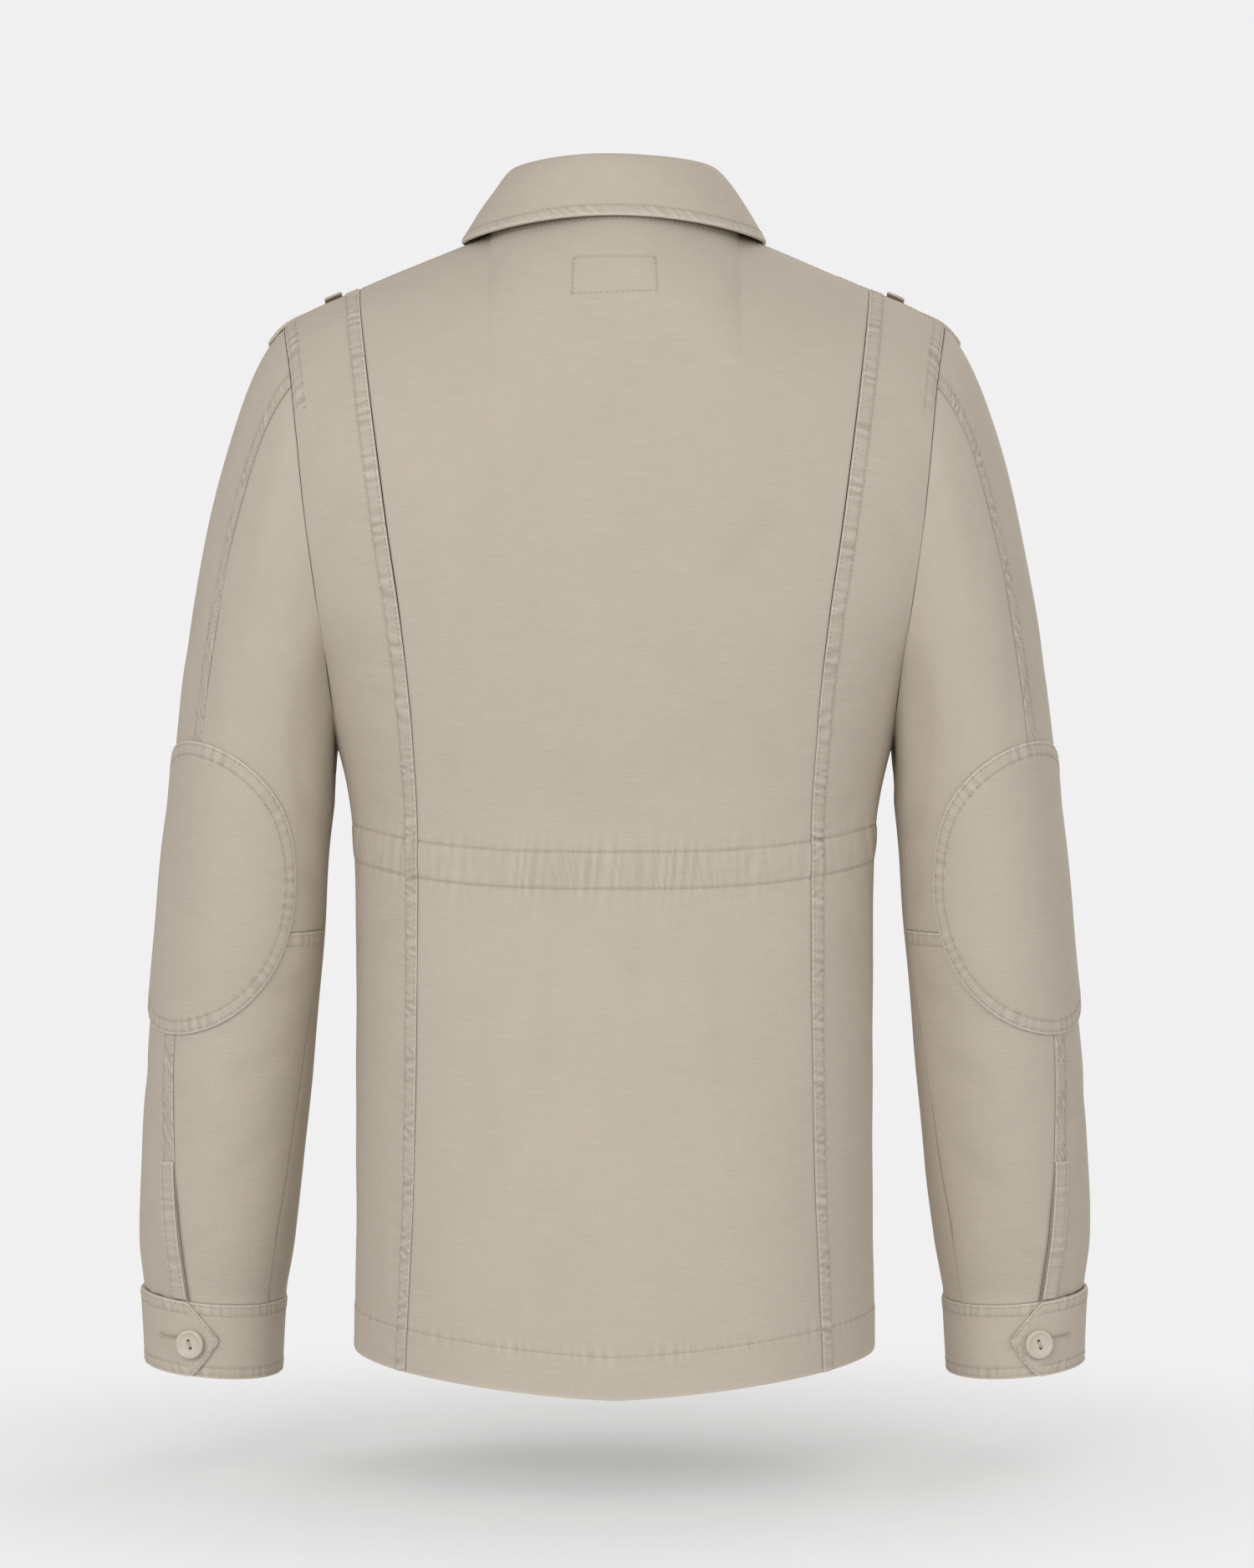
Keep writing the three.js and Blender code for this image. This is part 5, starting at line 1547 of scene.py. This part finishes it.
    def cuff(self, side: Side) -> None:
        """Makes the cuff, one strip wound round the wrist with its pointed tab over its start."""
        length, depth = 315.0, self.cuff_depth
        near, far = self.cuff_rows
        along = spread(0, length, 1.9, (length,), fine=0.8, reach=2.5) / length
        down = spread(0, depth, 2.2, (0.0, near, far, depth - far, depth - near, depth), fine=0.8, reach=1.1) / depth
        degrees = mix(self.cuff_start, self.tab_tip, along)[None, :]
        tab = np.clip((self.tab_corner - degrees) / (self.tab_corner - self.tab_tip), 0, 1)
        share = mix(self.tab_top * tab, 1 - self.tab_foot * tab**1.4, down[:, None])
        lap = self.cuff_wall + LAP_GAP
        points, out = self.cuff_place(np.radians(degrees), share, lap * ease((-degrees - 235) / 55) + 0 * share)
        cloth = Cloth(points, out)
        seed = side.seed
        for edge in (cloth.from_first, cloth.from_last):
            wave = ripple(cloth.from_left, 5.2, 0.5 + seed + 0.01 * float(edge[0, 0]))
            between = ease((far + 2 - edge) / 2.5)
            # The puckers by the edge get painted light on their crests and painted shade in their valleys
            cloth.work(0.42 * wave * between, 0.3 * wave * between)
            # The stitch grooves are painted darker as shade
            cloth.work(-0.32 * groove(edge - near, 0.6), -0.3 * groove(edge - near, 0.7))
            plain = 1 - ease(tab * 6)
            cloth.work(-0.32 * groove(edge - far, 0.6) * plain, -0.3 * groove(edge - far, 0.7) * plain)
            cloth.roll(edge, depth=0.5)
        cloth.roll(cloth.from_right, depth=0.5)
        cloth.sway(0.25, 1.2 + seed, 50.0)
        upper = np.broadcast_to(degrees < -235, share.shape)
        buttonhole(cloth, (264.2, -645.2), (254.3, -645.8), upper & (cloth.out[..., 1] > 0.1))
        wide = np.minimum(cloth.from_first[-1], 99) > 2 * near + 1.5
        before_tab = degrees[0] > self.tab_corner
        for edge in (cloth.from_first, cloth.from_last):
            cloth.stitch(cloth.trace(edge, near, by_row=False), keep=lambda points, wide=wide: wide)
            cloth.stitch(cloth.trace(edge, far, by_row=False), keep=lambda points, on=before_tab: on)
        dress(cloth, "cuff", self.finishes.twill, self.finishes,
              wall=self.cuff_wall, side=side)


@dataclass
class Collar:
    """The collar: a stand on the neckline and a leaf that folds down over it."""

    body: BodyForm
    finishes: Finishes
    end: float = 165.0
    rise_back: float = 31.4
    rise_side: float = 35.6
    rise_front: float = 24.0
    shrink: float = 0.89
    shrink_side: float = 0.08
    fold_above: float = 3.5
    fold_out: float = 6.1
    fold_up: float = 5.5
    half_width: float = 89.0
    back: float = 66.0
    back_height: float = 6.3
    side_height: float = -5.6
    roundness: float = 2.2
    point_x: float = 32.0
    point_drop: float = 100.0
    point_lifts: tuple[float, float] = (3.2, 6.0)
    edge_row: float = 6.2

    def neck(self, angle: Array) -> Array:
        """The body's neckline by angle round the neck, from the centre back."""
        x = NECK_HALF_WIDTH * np.sin(angle)
        behind = np.cos(angle) >= 0
        z = np.where(behind, self.body.top_edge(x, Half.BACK), self.body.top_edge(x, Half.FRONT))
        return self.body.point(self.body.turn_of(x, z), z, np.where(behind, 1.0, -1.0))

    def fold_line(self, angle: Array) -> Array:
        """The line where the collar folds, above the neckline."""
        side = np.sin(angle) ** 2
        shrink = self.shrink - self.shrink_side * side
        rise = mix(np.where(np.cos(angle) >= 0, self.rise_back, self.rise_front), self.rise_side, side)
        return self.neck(angle) * np.stack([shrink, shrink, np.ones_like(shrink)], axis=-1) + vector(0, 0, rise)

    def frame(self, angle: Array) -> tuple[Array, Array, Array]:
        """The fold's place and the directions up the stand and out of it."""
        top = self.fold_line(angle)
        along = unit(self.fold_line(angle + 0.1) - self.fold_line(angle - 0.1))
        up = top - self.neck(angle)
        up = unit(up - along * np.sum(up * along, axis=-1, keepdims=True))
        out = unit(np.cross(along, up))
        inward = np.sum(out * top * (1, 1, 0), axis=-1, keepdims=True) < 0
        return top, up, np.where(inward, -out, out)

    def stand(self) -> None:
        """Makes the stand."""
        angle = np.radians(spread(-self.end, self.end, 1.9))
        top, up, out = self.frame(angle)
        clear = mix(0.5, 1.3, np.abs(np.sin(angle)) ** 8)
        foot = self.neck(angle) + up * clear[:, None]
        share = spread(0, 32, 2.6, (0.0,), fine=1.1, reach=1.5)[:, None, None] / 32
        cloth = Cloth(mix(foot[None], top[None], share), out[None] + 0 * share)
        cloth.sway(0.2, 0.7, 60.0)
        seamed(cloth, cloth.from_first)
        for at in (1.6, 6.0):
            # The stitch grooves are painted darker as shade
            cloth.work(-0.3 * groove(cloth.from_first - at, 0.7), -0.25 * groove(cloth.from_first - at, 0.8))
        cloth.stitch(cloth.trace(cloth.from_first, 1.6, by_row=False))
        dress(cloth, "collar_stand", self.finishes.twill, self.finishes)

    def edge(self, angle: Array) -> Array:
        """The leaf's free edge: round the back clear of the shoulders, then down the chest to its points."""
        turned = np.abs(angle)
        reach = np.sin(np.minimum(turned, HALF_TURN))
        y = self.back * np.maximum(0, 1 - reach**self.roundness) ** (1 / self.roundness)
        behind = vector(self.half_width * reach, y, mix(self.back_height, self.side_height, reach**2))
        forward = np.clip((np.degrees(turned) - 90) / (self.end - 90), 0, 1)
        x = mix(self.half_width, self.point_x, forward**1.2)
        z = self.body.ridge(x) - self.point_drop * forward**1.3
        turn = self.body.turn_of(x, z)
        lift = mix(*self.point_lifts, ease(forward * 2))[:, None]
        ahead = self.body.point(turn, z, -1) + self.body.normal(turn, z, np.full(len(z), -1.0)) * lift
        side = np.where(angle < 0, -1.0, 1.0)
        return np.where((turned <= HALF_TURN)[:, None], behind, ahead) * vector(side, 1, 1)

    def leaf(self) -> None:
        """Makes the leaf."""
        angle = np.radians(spread(-self.end, self.end, 1.35, (-self.end, self.end), fine=0.6, reach=1.5))
        top, up, out = self.frame(angle)
        start = top - out * CLOTH_WALL + up * self.fold_above
        bend = top + out * self.fold_out + up * self.fold_up
        length = 56.0
        marks = (length, length - self.edge_row)
        share = spread(0, length, 2.1, marks, fine=0.75, reach=1.5)[:, None, None] / length
        points = start * (1 - share) ** 2 + bend * 2 * share * (1 - share) + self.edge(angle) * share**2
        cloth = Cloth(points, (out + up)[None] + 0 * share)
        cloth.sway(0.4, 0.3, 75.0)
        x = cloth.points[..., 0]
        edge = cloth.from_last
        inside = ease((self.edge_row + 0.8 - edge) / 1.2)
        wave = ripple(cloth.from_left, 7.4, 0.8) + 0.6 * ripple(cloth.from_left, 4.1, 2.2)
        centre = 0.55 + 0.45 * (1 - ease((np.abs(x) - 40) / 20))
        # The puckers by the edge get painted light on their crests and painted shade in their valleys
        cloth.work((0.32 * inside + 0.14 * np.exp(-edge / 9)) * wave * centre, 0.26 * inside * wave * centre)
        for line in (edge, cloth.from_left, cloth.from_right):
            # The stitch grooves are painted darker as shade
            cloth.work(-0.36 * groove(line - self.edge_row, 0.7), -0.3 * groove(line - self.edge_row, 0.8))
            cloth.roll(line)
        cloth.stitch(cloth.trace(edge, self.edge_row, by_row=False),
                     keep=lambda points: np.abs(np.degrees(angle)) < self.end - 7)
        for line in (cloth.from_left, cloth.from_right):
            cloth.stitch(cloth.trace(line, self.edge_row), keep=lambda points: cloth.from_last[:, 3] > self.edge_row)
        dress(cloth, "collar_leaf", self.finishes.twill, self.finishes,
              wall=DOUBLE_WALL)


@dataclass
class ShoulderStraps:
    """The shoulder straps, lying over the shoulders under their carriers, with loose outer ends."""

    body: BodyForm
    finishes: Finishes
    neck_end: float = 132.0
    tip: float = 204.0
    rest_to: float = 180.0
    back: float = -10.0
    width: float = 46.0
    wall: float = 2.0
    carrier_from: float = 160.5
    carrier_to: float = 170.5
    carrier_wall: float = 1.2
    carrier_overhang: float = 0.13

    def surface(self, x: Array, y: Array) -> Array:
        """Height of the shoulder at a place, before or behind the shoulder line."""
        high = self.body.ridge(x)
        low = high - self.body.round_at_arm
        half = np.sign(y)
        for _ in range(24):
            middle = (low + high) / 2
            outside = np.abs(self.body.point(self.body.turn_of(x, middle), middle, half)[..., 1]) > np.abs(y)
            low, high = np.where(outside, middle, low), np.where(outside, high, middle)
        return (low + high) / 2

    def place(self, x: Array, across: Array, above: float) -> Array:
        """A point of the strap's upper face, or above it."""
        y = self.back - self.width * across + 0 * x
        resting = np.minimum(x, self.rest_to) + 0 * across
        return vector(x, y, STRAP_HEIGHT(x) + self.surface(resting, y) - self.body.ridge(resting) + above)

    def make(self) -> None:
        """Makes both straps and their carriers."""
        for side in Side:
            length, width = self.tip - self.neck_end, self.width
            x = self.neck_end + spread(0, length, 2.0, (0.0, 1.5, length - 1.5, length), fine=0.8, reach=1.2)[:, None]
            across = spread(0, width, 2.0, (0.0, 1.5, width - 1.5, width), fine=0.8, reach=1.2)[None, :] / width
            cloth = Cloth(self.place(x, across, 0.0), np.array([0.3, 0.0, 1.0]))
            cloth.sway(0.2, 1.0 + side.seed, 40.0)
            edges = (cloth.from_left, cloth.from_right, cloth.from_last)
            for edge in edges:
                # The stitch grooves are painted darker as shade
                cloth.work(-0.32 * groove(edge - 1.6, 0.6), -0.3 * groove(edge - 1.6, 0.7))
                cloth.roll(edge, depth=0.45)
            for edge, by_row in zip(edges, (True, True, False)):
                cloth.stitch(cloth.trace(edge, 1.6, by_row=by_row))
            dress(cloth, "shoulder_strap", self.finishes.twill, self.finishes, wall=self.wall,
                  side=side)
            x = spread(self.carrier_from, self.carrier_to, 1.0)[:, None]
            reach = 1 + 2 * self.carrier_overhang
            across = spread(0, width * reach, 2.0, (0.0, width * reach))[None, :] / width - self.carrier_overhang
            cloth = Cloth(self.place(x, across, SEAT_GAP + self.carrier_wall), np.array([0.3, 0.0, 1.0]))
            for edge in (cloth.from_first, cloth.from_last):
                # The stitch grooves are painted darker as shade
                cloth.work(-0.22 * groove(edge - 1.6, 0.6), -0.22 * groove(edge - 1.6, 0.7))
                cloth.roll(edge, depth=0.35)
                cloth.stitch(cloth.trace(edge, 1.6, by_row=False))
            dress(cloth, "strap_carrier", self.finishes.twill, self.finishes,
                  wall=self.carrier_wall, side=side)


def lathe(profile: list[tuple[float, float]], sides: int) -> tuple[Array, list]:
    """Turns a profile about the z axis.

    Args:
        profile: radius and height of each ring, from the foot up. The ends are closed on the axis.
        sides: how many sides the turned shape has.

    Returns:
        Its points and faces.
    """
    turn = np.arange(sides) * TURN / sides
    rings = [vector(radius * np.cos(turn), radius * np.sin(turn), height) for radius, height in profile]
    ends = [np.array([[0.0, 0.0, profile[0][1]]]), np.array([[0.0, 0.0, profile[-1][1]]])]
    points = np.concatenate([*rings, *ends])
    count = len(profile) * sides
    faces = []
    for k in range(sides):
        after = (k + 1) % sides
        faces += [[row * sides + k, row * sides + after, (row + 1) * sides + after, (row + 1) * sides + k]
                  for row in range(len(profile) - 1)]
        faces += [[count, after, k], [count + 1, count - sides + k, count - sides + after]]
    return points, faces


class Buttons:
    """The sewn-on buttons, two-holed and turned with a raised rim."""

    PROFILE = [(6.9, 0.0), (7.7, 0.25), (8.35, 0.9), (8.6, 1.7), (8.5, 2.5), (8.1, 3.1), (7.5, 3.38), (6.9, 3.38),
               (6.3, 3.15), (5.7, 2.72), (5.1, 2.52), (3.0, 2.5)]
    HOLE_RADIUS = 1.05
    HOLE_APART = 4.2

    def __init__(self, finishes: Finishes) -> None:
        """Turns the blank and drills it."""
        self.finishes = finishes
        blank = self.plain("button_blank", *lathe(self.PROFILE, 56))
        for side in Side:
            points, faces = lathe([(self.HOLE_RADIUS, -1.0), (self.HOLE_RADIUS, 4.0)], 20)
            drill = self.plain(f"drill_{side.word}", points + (side.value * self.HOLE_APART / 2, 0, 0), faces)
            drilled = blank.modifiers.new(drill.name, "BOOLEAN")
            drilled.operation = "DIFFERENCE"
            drilled.object = drill
        bpy.context.view_layer.update()
        mesh = blank.evaluated_get(bpy.context.evaluated_depsgraph_get()).to_mesh()
        self.points = np.array([corner.co[:] for corner in mesh.vertices])
        self.faces = [list(polygon.vertices) for polygon in mesh.polygons]
        for used in [piece for piece in bpy.data.objects if piece.name.startswith(("button_blank", "drill_"))]:
            bpy.data.objects.remove(used)

    @staticmethod
    def plain(name: str, points: Array, faces: list) -> bpy.types.Object:
        """A bare object that only serves to cut the blank."""
        mesh = bpy.data.meshes.new(name)
        mesh.from_pydata(points, [], faces)
        piece = bpy.data.objects.new(name, mesh)
        bpy.context.scene.collection.objects.link(piece)
        return piece

    def place(self, node_name: str, centre: Array, out: Array, side: Side = Side.LEFT, spin: float = 0.0) -> None:
        """Sets a button on the cloth with its thread.

        Args:
            node_name: the node that it stands for.
            centre: the middle of its foot.
            out: the direction out of the cloth.
            side: the right side is mirrored.
            spin: turns its holes from level, in radians.
        """
        level = unit(np.cross((0.0, 0.0, 1.0), out))
        upright = np.cross(out, level)
        along = level * math.cos(spin) + upright * math.sin(spin)
        aside = np.cross(out, along)
        points = centre + self.points @ np.stack([along, aside, out])
        piece = make_object(f"{node_name}_resin", points, self.faces, self.finishes.resin, sharp=40.0, side=side)
        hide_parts(node_name)
        sewn = Sewing()
        strands = np.array([-0.5, 0.0, 0.5])[:, None]
        places = centre + out * 2.62 + aside * strands
        sewn.keep(places, np.repeat(along[None], 3, axis=0), np.repeat(out[None], 3, axis=0), self.HOLE_APART + 0.6)
        sewn.sew(f"{node_name}_thread", self.finishes.thread, side)


@dataclass
class Studio:
    """A plain pale ground with soft light from behind the camera, seen as the photo shows the jacket."""

    ground: str = "F0F0F0"
    fill: float = 0.56
    eye: tuple[float, float, float] = (0.0, 3.5, -0.207)
    lens: float = 137.1
    shift_x: float = 0.008
    shift_y: float = -0.1267
    floor_height: float = -0.72

    def world(self) -> None:
        """A pale surround, seen at full strength and lighting the jacket more weakly."""
        world = bpy.data.worlds.new("studio_surround")
        world.use_nodes = True
        tree = world.node_tree
        tree.nodes.clear()
        seen = node(tree, "ShaderNodeBackground", {"Color": colour(self.ground), "Strength": 1.0})
        lit = node(tree, "ShaderNodeBackground", {"Color": colour(self.ground), "Strength": self.fill})
        path = node(tree, "ShaderNodeLightPath")
        mixed = node(tree, "ShaderNodeMixShader", {0: path.outputs["Is Camera Ray"], 1: lit.outputs[0],
                                                   2: seen.outputs[0]})
        node(tree, "ShaderNodeOutputWorld", {"Surface": mixed.outputs[0]})
        bpy.context.scene.world = world

    def lamp(self, name: str, place: tuple[float, float, float], size: float, power: float) -> None:
        """Hangs a soft box that looks at the jacket's middle."""
        light = bpy.data.lights.new(name, "AREA")
        light.shape = "SQUARE"
        light.size = size
        light.energy = power
        box = bpy.data.objects.new(name, light)
        bpy.context.scene.collection.objects.link(box)
        box.location = place
        away = Vector(place) - Vector((0.0, 0.0, -0.3))
        box.rotation_euler = away.to_track_quat("Z", "Y").to_euler()

    def build(self) -> None:
        """Sets up the surround, the lamps, the floor and the camera."""
        self.world()
        self.lamp("key_box", (1.7, 3.3, 0.7), 2.5, 72.0)
        self.lamp("fill_box", (-2.6, 2.6, 0.3), 2.2, 32.0)
        self.lamp("front_box", (-1.5, -3.0, 1.5), 2.5, 50.0)
        points, faces = lathe([(1500.0, self.floor_height / MM), (1500.0, self.floor_height / MM + 1)], 64)
        floor = make_object("studio_floor", points, faces, PaintedFloor().make())
        camera = bpy.data.cameras.new("photo_view")
        camera.lens = self.lens
        camera.sensor_width = 36.0
        camera.shift_x = self.shift_x
        camera.shift_y = self.shift_y
        stand = bpy.data.objects.new("photo_view", camera)
        stand.location = self.eye
        stand.rotation_euler = (HALF_TURN, 0.0, PI)
        bpy.context.scene.collection.objects.link(stand)
        bpy.context.scene.camera = stand
        bpy.context.scene.view_settings.view_transform = "Standard"


def main() -> None:
    """Builds the jacket piece by piece and the studio round it."""
    logging.basicConfig(level=logging.INFO, format="%(message)s")
    body = BodyForm()
    finishes = Finishes()
    casing = Casing(body)
    back = Back(body, finishes, casing)
    back.centre()
    back.sides()
    fronts = Fronts(body, finishes, casing, back.levels(3.2))
    fronts.make()
    sleeves = Sleeves(SleeveForm(body), finishes)
    sleeves.make()
    collar = Collar(body, finishes)
    collar.stand()
    collar.leaf()
    ShoulderStraps(body, finishes).make()
    buttons = Buttons(finishes)
    for number, height in enumerate(fronts.button_heights, start=1):
        out = body.normal(0.0, height, -1)
        centre = body.point(0.0, height, -1) + out * (DOUBLE_WALL + 2 * LAP_GAP)
        buttons.place(f"front_button_{number}", centre, out, spin=0.1 * math.sin(7 * number))
    for side in Side:
        centre, out = sleeves.cuff_place(math.radians(15.5), 24.0 / 43.5, sleeves.cuff_wall + LAP_GAP + SEAT_GAP)
        buttons.place(f"cuff_button_{side.word}", centre, out, side, spin=HALF_TURN + 0.3 * side.value)
    Studio().build()


if __name__ == "__main__":
    main()
